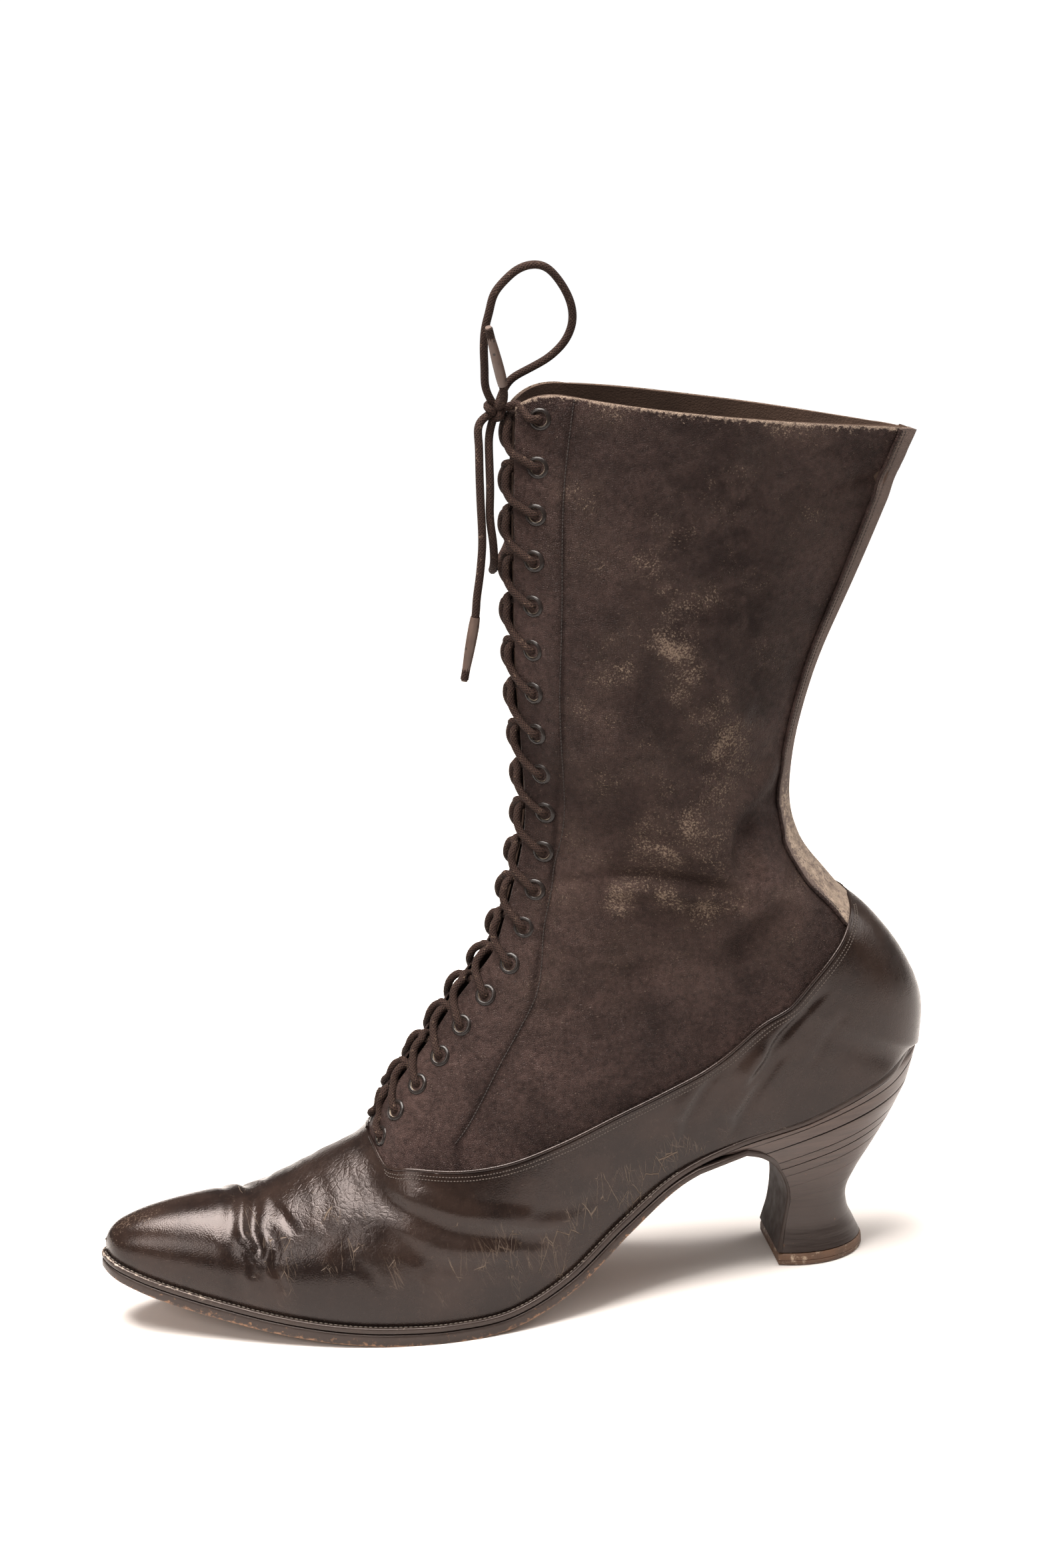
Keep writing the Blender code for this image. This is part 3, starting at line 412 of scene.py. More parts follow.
def noise(tree, place, scale, detail=3.0, rough=0.55, bend=0.0):
    return put(tree, "ShaderNodeTexNoise", {"Vector": place, "Scale": scale, "Detail": detail,
                                            "Roughness": rough, "Distortion": bend}).outputs["Fac"]


def cell_edges(tree, place, scale):
    """Distance from the edges of a net of cells."""
    return put(tree, "ShaderNodeTexVoronoi", {"Vector": place, "Scale": scale},
               feature="DISTANCE_TO_EDGE").outputs["Distance"]


def place_of(tree):
    return put(tree, "ShaderNodeTexCoord").outputs["Object"]


def mark_of(tree, name):
    return put(tree, "ShaderNodeAttribute", attribute_name=name).outputs["Fac"]


def use(tree, shared, **inputs):
    return put(tree, "ShaderNodeGroup", inputs, node_tree=shared).outputs


def finish_material(name, **sockets):
    """A new Principled material and its tree, with plain values on the shader's own sockets."""
    material = bpy.data.materials.new(name)
    material.use_nodes = True
    shader = material.node_tree.nodes["Principled BSDF"]
    for label, value in sockets.items():
        shader.inputs[label.replace("_", " ")].default_value = value
    return material, material.node_tree, shader


def wire(tree, shader, colour=None, roughness=None, height=None, bump=0.4, distance=0.0004):
    """Joins a colour, a roughness and a bump height to the shader."""
    if colour is not None:
        tree.links.new(colour, shader.inputs["Base Color"])
    if roughness is not None:
        tree.links.new(roughness, shader.inputs["Roughness"])
    if height is not None:
        raised = put(tree, "ShaderNodeBump", {"Height": height, "Strength": bump, "Distance": distance})
        tree.links.new(raised.outputs["Normal"], shader.inputs["Normal"])


# Fine grain of a skin: small rounded cells with softer swells between them
grain_group, grain_in, grain_out = group("skin_grain", {"Cells": 900.0, "Swells": 240.0}, ("Height",))
plates = cell_edges(grain_group, grain_in["Place"], grain_in["Cells"])
plates = remap(grain_group, plates, 0.0, 0.22, 0.0, 0.5)
swells = noise(grain_group, grain_in["Place"], grain_in["Swells"], 3.0, 0.5)
grain_group.links.new(calc(grain_group, "ADD", plates, swells), grain_out["Height"])


def grain_of(tree, place, cells, swells=240.0):
    return use(tree, grain_group, Place=place, Cells=cells, Swells=swells)["Height"]


lining_leather, tree, shader = finish_material("lining_leather", Roughness=0.8, Specular_IOR_Level=0.15)
place = place_of(tree)
lining_tone = mix(tree, noise(tree, place, 90, 4), (0.021, 0.0128, 0.0095), (0.056, 0.035, 0.025))
wire(tree, shader, lining_tone, height=grain_of(tree, place, 1100.0), bump=0.3)

lining_sections = even_sections(0, COLLAR, 2.4, 0.6)
lining_shares = end_shares(48, 0.11)
sheets = []
for side in (OUTER, INNER):
    s, h = np.meshgrid(lining_sections, lining_shares, indexing="ij")
    s = collar_section(s, h)
    lift = relief(s, h, side)
    face = skin(s, h, side, lift - LEG_THICK - LINING_GAP)
    back = skin(s, h, side, lift - LEG_THICK - LINING_THICK - LINING_GAP)
    sheets.append((face, back, side == INNER))
show("lining_wall", shell("lining_wall", sheets), lining_leather, ["upper"])

# Leg: matte black kid, rubbed brown and tan where it has been handled, folded in at the lacing and collar.
# It is cut in two sides, closed up the back under a strip, and sewn under the golosh at its lower edge.
LEG_UNDER_GOLOSH = 0.07
FACING_LINE = np.array((
    (25.6, 279.3), (22.3, 268.1), (20.1, 247.2), (18.1, 211.9), (16.6, 175.8), (13.5, 139.2), (9.3, 119.6),
    (4.1, 97.5), (-4.0, 85.6), (-11.6, 73.7), (-21.8, 59.4),
))
FACING_RISE, FACING_PRESS = 0.35, 0.45
EDGE_ROLL = 0.5
# Rubbed places in the side view: x, z, reach in millimetres, strength
RUBBED = np.array((
    (52, 240, 14, 0.50), (52, 218, 12, 0.82), (50, 207, 9, 0.95), (53, 197, 10, 0.85), (46, 226, 10, 0.62),
    (66, 174, 10, 0.98), (60, 183, 11, 0.78), (70, 166, 11, 0.78), (62, 160, 12, 0.68), (54, 154, 13, 0.82),
    (43, 150, 11, 0.66), (45, 141, 11, 0.84), (58, 147, 11, 0.72), (31, 201, 10, 0.66), (37, 209, 9, 0.56),
    (38, 138, 10, 0.72), (35, 131, 8, 0.84), (47, 129, 9, 0.92), (58, 127, 9, 0.95), (65, 126, 6, 0.80),
    (25, 190, 10, 0.52), (28, 170, 12, 0.55), (22, 146, 10, 0.60), (17, 127, 10, 0.60), (61, 138, 11, 0.62),
    (74, 257, 13, 0.48), (84, 267, 7, 0.80), (92, 264, 8, 0.64), (40, 277, 9, 0.66), (28, 252, 8, 0.58),
    (92, 238, 18, 0.42), (78, 200, 16, 0.46), (44, 168, 17, 0.56), (30, 112, 15, 0.44), (92, 135, 9, 0.62),
    (70, 222, 18, 0.42), (64, 247, 18, 0.46), (30, 235, 15, 0.42), (50, 112, 15, 0.40), (8, 103, 13, 0.40),
    (78, 117, 10, 0.46), (88, 126, 8, 0.65),
))
# Places that keep their dark dye
DEEP = np.array((
    (62, 268, 20, 0.8), (66, 250, 20, 0.95), (69, 230, 17, 1.0), (73, 212, 15, 0.95), (76, 194, 13, 0.85),
    (52, 260, 18, 0.8), (40, 262, 14, 0.6), (88, 246, 16, 0.5), (60, 190, 12, 0.5), (38, 182, 12, 0.5),
    (52, 170, 12, 0.45), (74, 150, 9, 0.6), (50, 117, 12, 0.4), (20, 160, 12, 0.3), (50, 240, 16, 0.9),
    (57, 216, 14, 0.85), (46, 226, 13, 0.7), (60, 203, 14, 0.75), (46, 192, 13, 0.6), (62, 168, 14, 0.65),
    (48, 160, 14, 0.6), (34, 160, 13, 0.5), (26, 204, 10, 0.4), (56, 138, 12, 0.5), (34, 143, 10, 0.4),
))
# Places with fine level wrinkles
WRINKLED = np.array((
    (30, 118, 16, 0.9), (50, 112, 14, 0.8), (20, 105, 14, 0.7), (45, 140, 14, 0.8), (25, 135, 12, 0.8),
    (60, 121, 12, 0.7), (12, 121, 10, 0.6), (112, 246, 13, 0.9), (30, 96, 12, 0.5), (72, 140, 10, 0.6),
))


def blots(table, x, z):
    """How strongly the rows of a table of round places mark points of the side view."""
    ragged_x = x + 2.4 * np.sin(z / 3.3 + 0.6) + 1.9 * np.sin(x / 2.7 - z / 5.9)
    ragged_z = z + 2.4 * np.sin(x / 4.1 + 1.1) + 1.7 * np.sin(z / 2.4 + x / 5.3)
    x, z = ragged_x, ragged_z
    total = np.zeros(np.shape(x))
    for bx, bz, reach, strength in table:
        total = np.maximum(total, strength * np.exp(-(((x - bx) ** 2 + (z - bz) ** 2) / reach**2)))
    return total


# Rubbed patches: where a finish has worn through in specks
rub_values = {"Specks": 1500.0, "Patches": 120.0, "Cover": 0.5}
rub_group, rub_in, rub_out = group("rubbed_specks", rub_values, ("Mask",))
speck = noise(rub_group, rub_in["Place"], rub_in["Specks"], 3.0, 0.7)
patch = noise(rub_group, rub_in["Place"], rub_in["Patches"], 4.0, 0.6)
both_rub = calc(rub_group, "MULTIPLY_ADD", patch, 0.38, calc(rub_group, "MULTIPLY", speck, 1.02))
level = calc(rub_group, "SUBTRACT", 0.97, calc(rub_group, "MULTIPLY", rub_in["Cover"], 0.36))
above = calc(rub_group, "SUBTRACT", both_rub, level)
rub_group.links.new(calc(rub_group, "MULTIPLY", above, 6.0, clamp=True), rub_out["Mask"])


def worn_off(tree, place, specks, patches, cover):
    return use(tree, rub_group, Place=place, Specks=specks, Patches=patches, Cover=cover)["Mask"]


def stretched(tree, place, turn, scale):
    """A place turned about the y axis and then scaled."""
    return put(tree, "ShaderNodeMapping", {"Vector": place, "Rotation": (0.0, turn, 0.0),
                                           "Scale": scale}).outputs["Vector"]


kid, tree, shader = finish_material("worn_kid", Specular_IOR_Level=0.075,
                                    Specular_Tint=(1.0, 0.90, 0.90, 1.0))
place = place_of(tree)
handled = calc(tree, "MULTIPLY", mark_of(tree, "rubbed"), 0.97)
rubbed = worn_off(tree, place, 1700.0, 140.0, handled)
worn_edge = mark_of(tree, "edge_wear")
edge_rub = worn_off(tree, place, 900.0, 260.0, worn_edge)
grain = grain_of(tree, place, 2000.0, 620.0)
brown = remap(tree, noise(tree, place, 42, 5, 0.65), 0.34, 0.68)
tone = mix(tree, brown, (0.0138, 0.0086, 0.0076), (0.0450, 0.0286, 0.0252))
mottle = remap(tree, noise(tree, place, 560, 4, 0.75), 0.42, 0.66, 0, 0.6)
tone = mix(tree, mottle, tone, (0.0058, 0.0034, 0.0029))
haze = calc(tree, "MULTIPLY", mark_of(tree, "rubbed"), noise(tree, place, 70, 4, 0.6))
tone = tint(tree, tone, haze, 0.65, (0.070, 0.048, 0.038), clamp=True)
dust = remap(tree, noise(tree, place, 1500, 2, 0.6), 0.66, 0.74, 0, 0.45)
tone = mix(tree, dust, tone, (0.120, 0.094, 0.076))
kept = remap(tree, noise(tree, place, 85, 6, 0.75), 0.3, 0.56)
# Darker where the leather keeps its dye, plus painted shade along the facing's stitched groove
dye_and_groove_shade = calc(tree, "MULTIPLY", mark_of(tree, "dye_and_groove_shade"), kept)
tone = tint(tree, tone, dye_and_groove_shade, 0.90, (0.0055, 0.0029, 0.0024), clamp=True)
# Painted shade: the grain's low valleys are darker
tone = mix(tree, remap(tree, grain, 0.66, 0.42, 0, 0.55), tone, (0.0035, 0.0024, 0.0022))
tone = tint(tree, tone, rubbed, 0.62, (0.200, 0.150, 0.112))
tone = tint(tree, tone, edge_rub, 0.8, (0.175, 0.135, 0.105))
rough = remap(tree, noise(tree, place, 110, 4), 0.3, 0.7, 0.36, 0.52)
rough = calc(tree, "MULTIPLY_ADD", rubbed, 0.25, rough)
rough = calc(tree, "MULTIPLY_ADD", dye_and_groove_shade, 0.20, rough)
level_place = stretched(tree, place, 0.12, (75.0, 75.0, 430.0))
wrinkles = calc(tree, "MULTIPLY", mark_of(tree, "wrinkled"), noise(tree, level_place, 1.0, 3, 0.6))
wire(tree, shader, tone, rough, calc(tree, "MULTIPLY_ADD", wrinkles, 1.6, grain), 0.75, 0.0005)


def far_from(points, edge):
    return np.linalg.norm(points - edge, axis=-1)


def rolled(thick, far, share=0.42):
    """How far a face of leather is drawn in by its rounded edge, at a distance from it."""
    return share * thick * np.sqrt(np.clip(1 - far / EDGE_ROLL, 0, 1))


leg_sections = np.unique(np.r_[even_sections(THROAT, COLLAR, 1.15, 0.45), COLLAR - 0.012, COLLAR - 0.03])
leg_shares = np.r_[0.0, 0.003, 0.008, end_shares(91, 0.09)[1:]]
sheets = []
for side in (OUTER, INNER):
    s, h = np.meshgrid(leg_sections, leg_shares, indexing="ij")
    h = h * np.minimum(golosh_edge(s) + LEG_UNDER_GOLOSH * smooth_step(9.0, 9.6, s), 1.0)
    s = collar_section(s, h)
    flat = last_point(s, h, side)
    lift = relief(s, h, side)
    line_x = np.interp(flat[..., 2], FACING_LINE[::-1, 1], FACING_LINE[::-1, 0])
    from_line = (flat[..., 0] - line_x) * np.where(flat[..., 2] < 110, 0.75, 1.0)
    lift = lift + FACING_RISE * smooth_step(0.9, -0.9, from_line)
    lift = lift - FACING_PRESS * np.exp(-((from_line / 1.1) ** 2))
    to_lacing, to_collar = far_from(flat, flat[:, :1]), far_from(flat, flat[-1:])
    roll = rolled(LEG_THICK, np.minimum(to_lacing, to_collar))
    face, back = skin(s, h, side, lift - roll), skin(s, h, side, lift - LEG_THICK + roll)
    x, z = flat[..., 0], flat[..., 2]
    worn = np.exp(-to_collar / 1.0) + 0.45 * np.exp(-to_collar / 6.0) + 0.5 * np.exp(-to_lacing / 1.2)
    handled = blots(RUBBED, x, z) if side == OUTER else blots(RUBBED, 98 - 0.8 * (x - 10), z + 13)
    # The dark mark joins the dyed places with a painted shade line along the facing's stitched groove
    dye_and_groove_shade_mark = np.maximum(blots(DEEP, x, z), 0.9 * np.exp(-((from_line / 0.75) ** 2)))
    sheets.append((face, back, side == INNER, (handled, worn, dye_and_groove_shade_mark, blots(WRINKLED, x, z))))
leg_marks = ("rubbed", "edge_wear", "dye_and_groove_shade", "wrinkled")
show("leg_leather", shell("leg_leather", sheets, leg_marks), kid, ["upper"])

# Golosh: polished black glace calf over the foot, one piece from the throat round the heel.
# It creases at the toe joint and the waist, and its polish has cracked into fine tan lines.
GOLOSH_THICK = 1.0
GOLOSH_LIFT = 0.06
TOE_TIP = np.array((-119.0, 4.0, 34.0))
# Places where the finish is cracked, crinkled or dull, in the side view: x, z, reach, strength
CRACKED = np.array((
    (-56, 32, 9, 0.8), (-22, 29, 10, 0.8), (-9, 26, 9, 0.9), (7, 26, 11, 1.0), (-12, 15, 9, 0.7),
    (42, 46, 9, 1.0), (33, 43, 8, 1.0), (25, 38, 9, 1.0), (17, 34, 9, 0.9), (-44, 22, 10, 0.6),
    (-34, 18, 9, 0.6), (-60, 24, 9, 0.5), (-73, 25, 9, 0.7), (50, 50, 8, 0.7),
    (-83, 33, 6, 0.7), (-80, 18, 7, 0.5), (-40, 40, 9, 0.4),
))
CRINKLED = np.array((
    (-62, 42, 12, 0.8), (-50, 46, 11, 1.0), (-42, 45, 9, 0.9), (-70, 36, 10, 0.6), (-52, 36, 12, 0.6),
    (-35, 36, 12, 0.4), (30, 40, 12, 0.35), (-80, 32, 8, 0.5),
))
DULL = np.array((
    (100, 82, 34, 0.55), (62, 66, 20, 0.4),
    (-46, 44, 10, 0.7), (-30, 34, 12, 0.7), (-18, 33, 12, 0.6), (-45, 30, 10, 0.6), (10, 30, 12, 0.4),
    (75, 95, 14, 0.35),
))


def wavering(tree, place, scale, reach):
    """A place shifted a little by noise, so that a straight line drawn on it wavers."""
    noise_way = put(tree, "ShaderNodeTexNoise", {"Vector": place, "Scale": scale, "Detail": 3.0})
    noise_way = noise_way.outputs["Color"]
    shift = put(tree, "ShaderNodeVectorMath", {0: noise_way, 1: (reach, reach, reach)}, operation="MULTIPLY")
    return put(tree, "ShaderNodeVectorMath", {0: place, 1: shift.outputs[0]}).outputs[0]


def broken_lines(tree, lines, keep, width, mask):
    """Ends a group of cracks: lines of a width where keep is above nothing, and none elsewhere."""
    shown = calc(tree, "MULTIPLY", keep, 5.0, clamp=True)
    ratio = calc(tree, "DIVIDE", lines, calc(tree, "MULTIPLY_ADD", shown, width, 1e-4))
    tree.links.new(calc(tree, "SUBTRACT", 1.0, ratio, clamp=True), mask)


# Cracks of a dried finish: the edges of small cells
crack_values = {"Cells": 150.0, "Cover": 0.5, "Width": 0.02}
crack_group, crack_in, crack_out = group("finish_cracks", crack_values, ("Mask",))
lines = cell_edges(crack_group, wavering(crack_group, crack_in["Place"], 260.0, 0.0007), crack_in["Cells"])
broken = noise(crack_group, crack_in["Place"], 120.0, 3.0, 0.6)
keep = calc(crack_group, "MULTIPLY_ADD", crack_in["Cover"], 0.92, -0.2)
keep = calc(crack_group, "MULTIPLY_ADD", broken, -0.45, keep)
broken_lines(crack_group, lines, keep, crack_in["Width"], crack_out["Mask"])

# Hair cracks: two sets of long straight lines that cross
hair_group, hair_in, hair_out = group("hair_cracks", {"Scale": 150.0, "Cover": 0.5, "Width": 0.01}, ("Mask",))
bent_place = wavering(hair_group, hair_in["Place"], 300.0, 0.0009)
lines = 1.0
for angle in (0.42, -0.30):
    drawn = stretched(hair_group, bent_place, angle, (1.0, 0.12, 0.28))
    lines = calc(hair_group, "MINIMUM", cell_edges(hair_group, drawn, hair_in["Scale"]), lines)
broken = noise(hair_group, hair_in["Place"], 130.0, 3.0, 0.6)
keep = calc(hair_group, "MULTIPLY_ADD", hair_in["Cover"], 0.65, 0.45)
keep = calc(hair_group, "MULTIPLY_ADD", broken, -1.6, keep)
broken_lines(hair_group, lines, keep, hair_in["Width"], hair_out["Mask"])

glace, tree, shader = finish_material("polished_glace", Specular_IOR_Level=0.27,
                                      Specular_Tint=(1.0, 0.90, 0.88, 1.0))
place = place_of(tree)
slanted = stretched(tree, place, 0.7, (1.0, 1.0, 0.5))
cracks = use(tree, hair_group, Place=place, Scale=190.0, Cover=mark_of(tree, "cracked"), Width=0.015)["Mask"]
hair = use(tree, hair_group, Place=slanted, Scale=520.0, Cover=mark_of(tree, "cracked"), Width=0.024)["Mask"]
dull = mark_of(tree, "dull")
brown = remap(tree, noise(tree, place, 50, 5, 0.65), 0.4, 0.68)
tone = mix(tree, brown, (0.0066, 0.0043, 0.0037), (0.0170, 0.0106, 0.0084))
specks = remap(tree, noise(tree, place, 800, 4, 0.75), 0.60, 0.74, 0, 0.35)
tone = mix(tree, specks, tone, (0.060, 0.042, 0.031))
dull_patch = remap(tree, noise(tree, place, 70, 4), 0.35, 0.65)
tone = tint(tree, tone, dull, dull_patch, (0.0145, 0.0088, 0.0066), clamp=True)
tone = tint(tree, tone, hair, 0.25, (0.15, 0.112, 0.082))
tone = tint(tree, tone, cracks, 0.46, (0.235, 0.180, 0.135))
tip_wear = worn_off(tree, place, 1300.0, 220.0, mark_of(tree, "edge_wear"))
tone = tint(tree, tone, tip_wear, 0.40, (0.135, 0.095, 0.066))
rough = remap(tree, noise(tree, place, 120, 5, 0.65), 0.3, 0.75, 0.13, 0.28)
rough = calc(tree, "MULTIPLY_ADD", dull, 0.16, rough)
rough = calc(tree, "MULTIPLY_ADD", mark_of(tree, "crinkled"), 0.08, rough)
rough = calc(tree, "MULTIPLY_ADD", calc(tree, "MAXIMUM", cracks, tip_wear), 0.4, rough, clamp=True)
wrinkles = use(tree, crack_group, Place=slanted, Cells=420.0, Cover=1.2, Width=0.12)["Mask"]
crinkle = calc(tree, "MULTIPLY_ADD", wrinkles, -0.22, noise(tree, place, 640, 4, 0.55, 0.3))
crinkle_depth = calc(tree, "MULTIPLY_ADD", mark_of(tree, "crinkled"), 0.38, 0.015)
crinkle = calc(tree, "MULTIPLY", crinkle, crinkle_depth)
fine = grain_of(tree, place, 1400.0, 480.0)
height = calc(tree, "MULTIPLY_ADD", fine, 0.045, crinkle)
height = calc(tree, "SUBTRACT", height, calc(tree, "MULTIPLY", cracks, 0.3))
wire(tree, shader, tone, rough, height, 0.55, 0.0012)

golosh_sections = np.unique(np.r_[even_sections(0, 5, 1.2, 0.5), even_sections(5, 9, 0.75, 0.5),
                                  np.linspace(9, 9.7, 16), even_sections(9.7, 18, 1.15, 0.9),
                                  even_sections(18, GOLOSH_EDGE[-1, 0], 1.15, 1.0), 0.06, 0.15, 0.3])
golosh_shares = np.r_[0.0, 0.004, 0.011, end_shares(62, 0.07)[1:]]
sheets = []
for side in (OUTER, INNER):
    s, t = np.meshgrid(golosh_sections, golosh_shares, indexing="ij")
    top = golosh_edge(s)
    h = top + (1 - top) * t
    flat = last_point(s, h, side)
    lift = relief(s, h, side) * smooth_step(1.0, 0.93, h) + GOLOSH_LIFT
    from_top = np.where(s > THROAT, far_from(flat, flat[:, :1]), 9.0)
    roll = rolled(GOLOSH_THICK, from_top)
    face, back = skin(s, h, side, lift + GOLOSH_THICK - roll), skin(s, h, side, lift + roll)
    x, z = flat[..., 0], flat[..., 2]
    tip = 0.85 * np.exp(-far_from(flat, TOE_TIP) / 15.0)
    tip = tip + 0.4 * np.exp(-from_top / 0.8) * (s > THROAT)
    marks = (blots(CRACKED, x, z), blots(CRINKLED, x, z), blots(DULL, x, z), tip)
    sheets.append((face, back, side == INNER, marks))
golosh_marks = ("cracked", "crinkled", "dull", "edge_wear")
show("golosh_shell", shell("golosh_shell", sheets, golosh_marks), glace, ["golosh"])

# Back strip: a narrow strip of the same kid over the back seam, worn through to a tan crackle.
# It is widest where it runs in under the golosh, and is sewn down both edges.
STRIP_THICK = 0.7
STRIP_LIFT = 0.08
STRIP_EDGE = np.array((
    (20.6, 0.868), (21.3, 0.872), (21.7, 0.879), (22.0, 0.887), (22.5, 0.910), (23.0, 0.935), (23.5, 0.955),
    (24.0, 0.967), (25.0, 0.971), (26.0, 0.970), (27.0, 0.970),
))

worn_strip, tree, shader = finish_material("worn_strip_leather", Roughness=0.8)
place = place_of(tree)
crackle = use(tree, crack_group, Place=place, Cells=1000.0, Cover=1.3, Width=0.08)["Mask"]
bare = worn_off(tree, place, 900.0, 130.0, mark_of(tree, "rubbed"))
tone = mix(tree, noise(tree, place, 200, 4), (0.034, 0.022, 0.0185), (0.090, 0.062, 0.051))
bare_patch = remap(tree, noise(tree, place, 330, 4, 0.65), 0.35, 0.65)
bare_tone = mix(tree, bare_patch, (0.112, 0.083, 0.061), (0.245, 0.194, 0.147))
tone = mix(tree, bare, tone, bare_tone)
tone = tint(tree, tone, crackle, 0.45, (0.070, 0.048, 0.034))
height = calc(tree, "SUBTRACT", grain_of(tree, place, 1100.0), crackle)
wire(tree, shader, tone, None, height, 0.45, 0.0005)

strip_sections = even_sections(STRIP_EDGE[0, 0], COLLAR, 1.2, 1.0)
strip_shares = np.r_[0.0, 0.05, 0.12, np.linspace(0.25, 1, 12)]
sheets = []
for side in (OUTER, INNER):
    s, t = np.meshgrid(strip_sections, strip_shares, indexing="ij")
    first = np.interp(s, *STRIP_EDGE.T)
    last = np.minimum(golosh_edge(s) + 0.012, 1.0)
    h = np.minimum(first + (np.maximum(last, first + 0.002) - first) * t, 1.0)
    flat = last_point(s, h, side)
    lift = relief(s, h, side) + STRIP_LIFT
    roll = rolled(STRIP_THICK, far_from(flat, flat[:, :1]), 0.3)
    low = smooth_step(172, 140, flat[..., 2])
    lift_low = 0.9 * low * np.sin(np.pi * np.clip(0.5 * t + 0.06, 0, 1)) * smooth_step(21.4, 22.4, s)
    face, back = skin(s, h, side, lift + lift_low + STRIP_THICK - roll), skin(s, h, side, lift + roll)
    wear = 0.15 + 1.05 * low * smooth_step(0.0, 0.22, t) + 0.5 * np.exp(-((flat[..., 2] - 262) / 8.0) ** 2)
    sheets.append((face, back, side == INNER, (wear,)))
show("back_strip_leather", shell("back_strip_leather", sheets, ("rubbed",)), worn_strip,
     ["back_strip"])

# Bead and seams: a fine rolled bead finishes the golosh's edge, with two rows of stitches below it.
# One row holds the facing behind the eyelets, and two hold each folded edge of the back strip.
BEAD_RADIUS = 0.58
STITCH_PITCH = 0.95
STITCH_LENGTH = 0.72
STITCH_RADIUS = 0.19
GOLOSH_SEAMS = (1.7, 2.9)
STRIP_SEAMS = (0.8, 1.9)
STRIP_FOLD_RADIUS = 0.55
GOLOSH_SEAM_RISE, LEG_SEAM_RISE = 0.05, 0.03


def tube(name, path, radius, sides=10, caps=True):
    """A round tube along points, with a UV map of millimetres round and along it. radius may be a list."""
    path = np.asarray(path, float)
    radius = np.broadcast_to(radius, (len(path),))
    ahead = unit(np.gradient(path, axis=0))
    across = [unit(np.cross(ahead[0], (0.3, 0.9, 0.2)))]
    for way in ahead[1:]:
        across.append(unit(across[-1] - way * (across[-1] @ way)))
    across = np.array(across)
    other = np.cross(ahead, across)
    turn = np.linspace(0, 2 * np.pi, sides, endpoint=False)
    rings = path[:, None] + radius[:, None, None] * (
        across[:, None] * np.cos(turn)[None, :, None] + other[:, None] * np.sin(turn)[None, :, None])
    count = len(path)
    faces = []
    for start in range(0, (count - 1) * sides, sides):
        for k in range(sides):
            beside = start + (k + 1) % sides
            faces.append((start + k, beside, beside + sides, start + k + sides))
    length = run_length(path)
    uvs = []
    for r in range(count - 1):
        for k in range(sides):
            uvs += [(k / sides, length[r]), ((k + 1) / sides, length[r]), ((k + 1) / sides, length[r + 1]),
                    (k / sides, length[r + 1])]
    if caps:
        faces += [tuple(range(sides))[::-1], tuple((count - 1) * sides + k for k in range(sides))]
        uvs += [(0.0, 0.0)] * (2 * sides)
    mesh = bpy.data.meshes.new(name)
    mesh.from_pydata(rings.reshape(-1, 3) * MM, [], faces)
    layer = mesh.uv_layers.new(name="cord")
    layer.data.foreach_set("uv", np.array(uvs, np.float32).reshape(-1))
    return turned_out(mesh)


def join_meshes(name, meshes):
    """One mesh from several, with their UV maps kept."""
    shape = bmesh.new()
    for mesh in meshes:
        shape.from_mesh(mesh)
    joined = bpy.data.meshes.new(name)
    shape.to_mesh(joined)
    shape.free()
    return joined


def polyline(name, paths):
    """A curve object with one open line for each path, in millimetres."""
    line = bpy.data.curves.new(name, "CURVE")
    line.dimensions = "3D"
    for path in paths:
        spline = line.splines.new("POLY")
        spline.points.add(len(path) - 1)
        for spot, point in zip(spline.points, path):
            spot.co = (*(np.asarray(point) * MM), 1.0)
    return placed(name, line)


def setting_tree(name, **inputs):
    """An empty Geometry Nodes tree with named inputs of the given kinds."""
    tree = bpy.data.node_groups.new(name, "GeometryNodeTree")
    for label, kind in {"Geometry": "Geometry", **inputs}.items():
        tree.interface.new_socket(label, in_out="INPUT", socket_type="NodeSocket" + kind)
    tree.interface.new_socket("Geometry", in_out="OUTPUT", socket_type="NodeSocketGeometry")
    return tree, put(tree, "NodeGroupInput").outputs


def end_setting(tree, material, **inputs):
    """Ends a tree: one shape on every point, as a plain mesh with its material."""
    laid = put(tree, "GeometryNodeInstanceOnPoints", inputs)
    real = put(tree, "GeometryNodeRealizeInstances", {"Geometry": laid.outputs[0]})
    dye_and_groove_shade_mark = put(tree, "GeometryNodeSetMaterial", {"Geometry": real.outputs[0], "Material": material})
    tree.links.new(dye_and_groove_shade_mark.outputs[0], put(tree, "NodeGroupOutput").inputs[0])


def set_on(name, guide, tree, **values):
    """The mesh that a tree makes on a guide object, which is then removed."""
    made = guide.modifiers.new(name, "NODES")
    made.node_group = tree
    for item in tree.interface.items_tree:
        if item.in_out == "INPUT" and item.name in values:
            made[item.identifier] = values[item.name]
    mesh = bpy.data.meshes.new_from_object(guide.evaluated_get(bpy.context.evaluated_depsgraph_get()))
    mesh.name = name
    bpy.data.objects.remove(guide, do_unlink=True)
    return mesh


# Stitches along every line of a curve: small rounded bars laid end to end
seam_tree, given = setting_tree("seam_stitches", Pitch="Float", Length="Float", Radius="Float",
                                Thread="Material")
spots = put(seam_tree, "GeometryNodeCurveToPoints", {"Curve": given["Geometry"], "Length": given["Pitch"]},
            mode="LENGTH").outputs
bar = put(seam_tree, "GeometryNodeMeshUVSphere", {"Segments": 6, "Rings": 5, "Radius": 0.5}).outputs["Mesh"]
wide = calc(seam_tree, "MULTIPLY", given["Radius"], 2.0)
bar_size = put(seam_tree, "ShaderNodeCombineXYZ", {"X": wide, "Y": wide, "Z": given["Length"]}).outputs[0]
end_setting(seam_tree, given["Thread"], Points=spots["Points"], Instance=bar, Rotation=spots["Rotation"],
            Scale=bar_size)


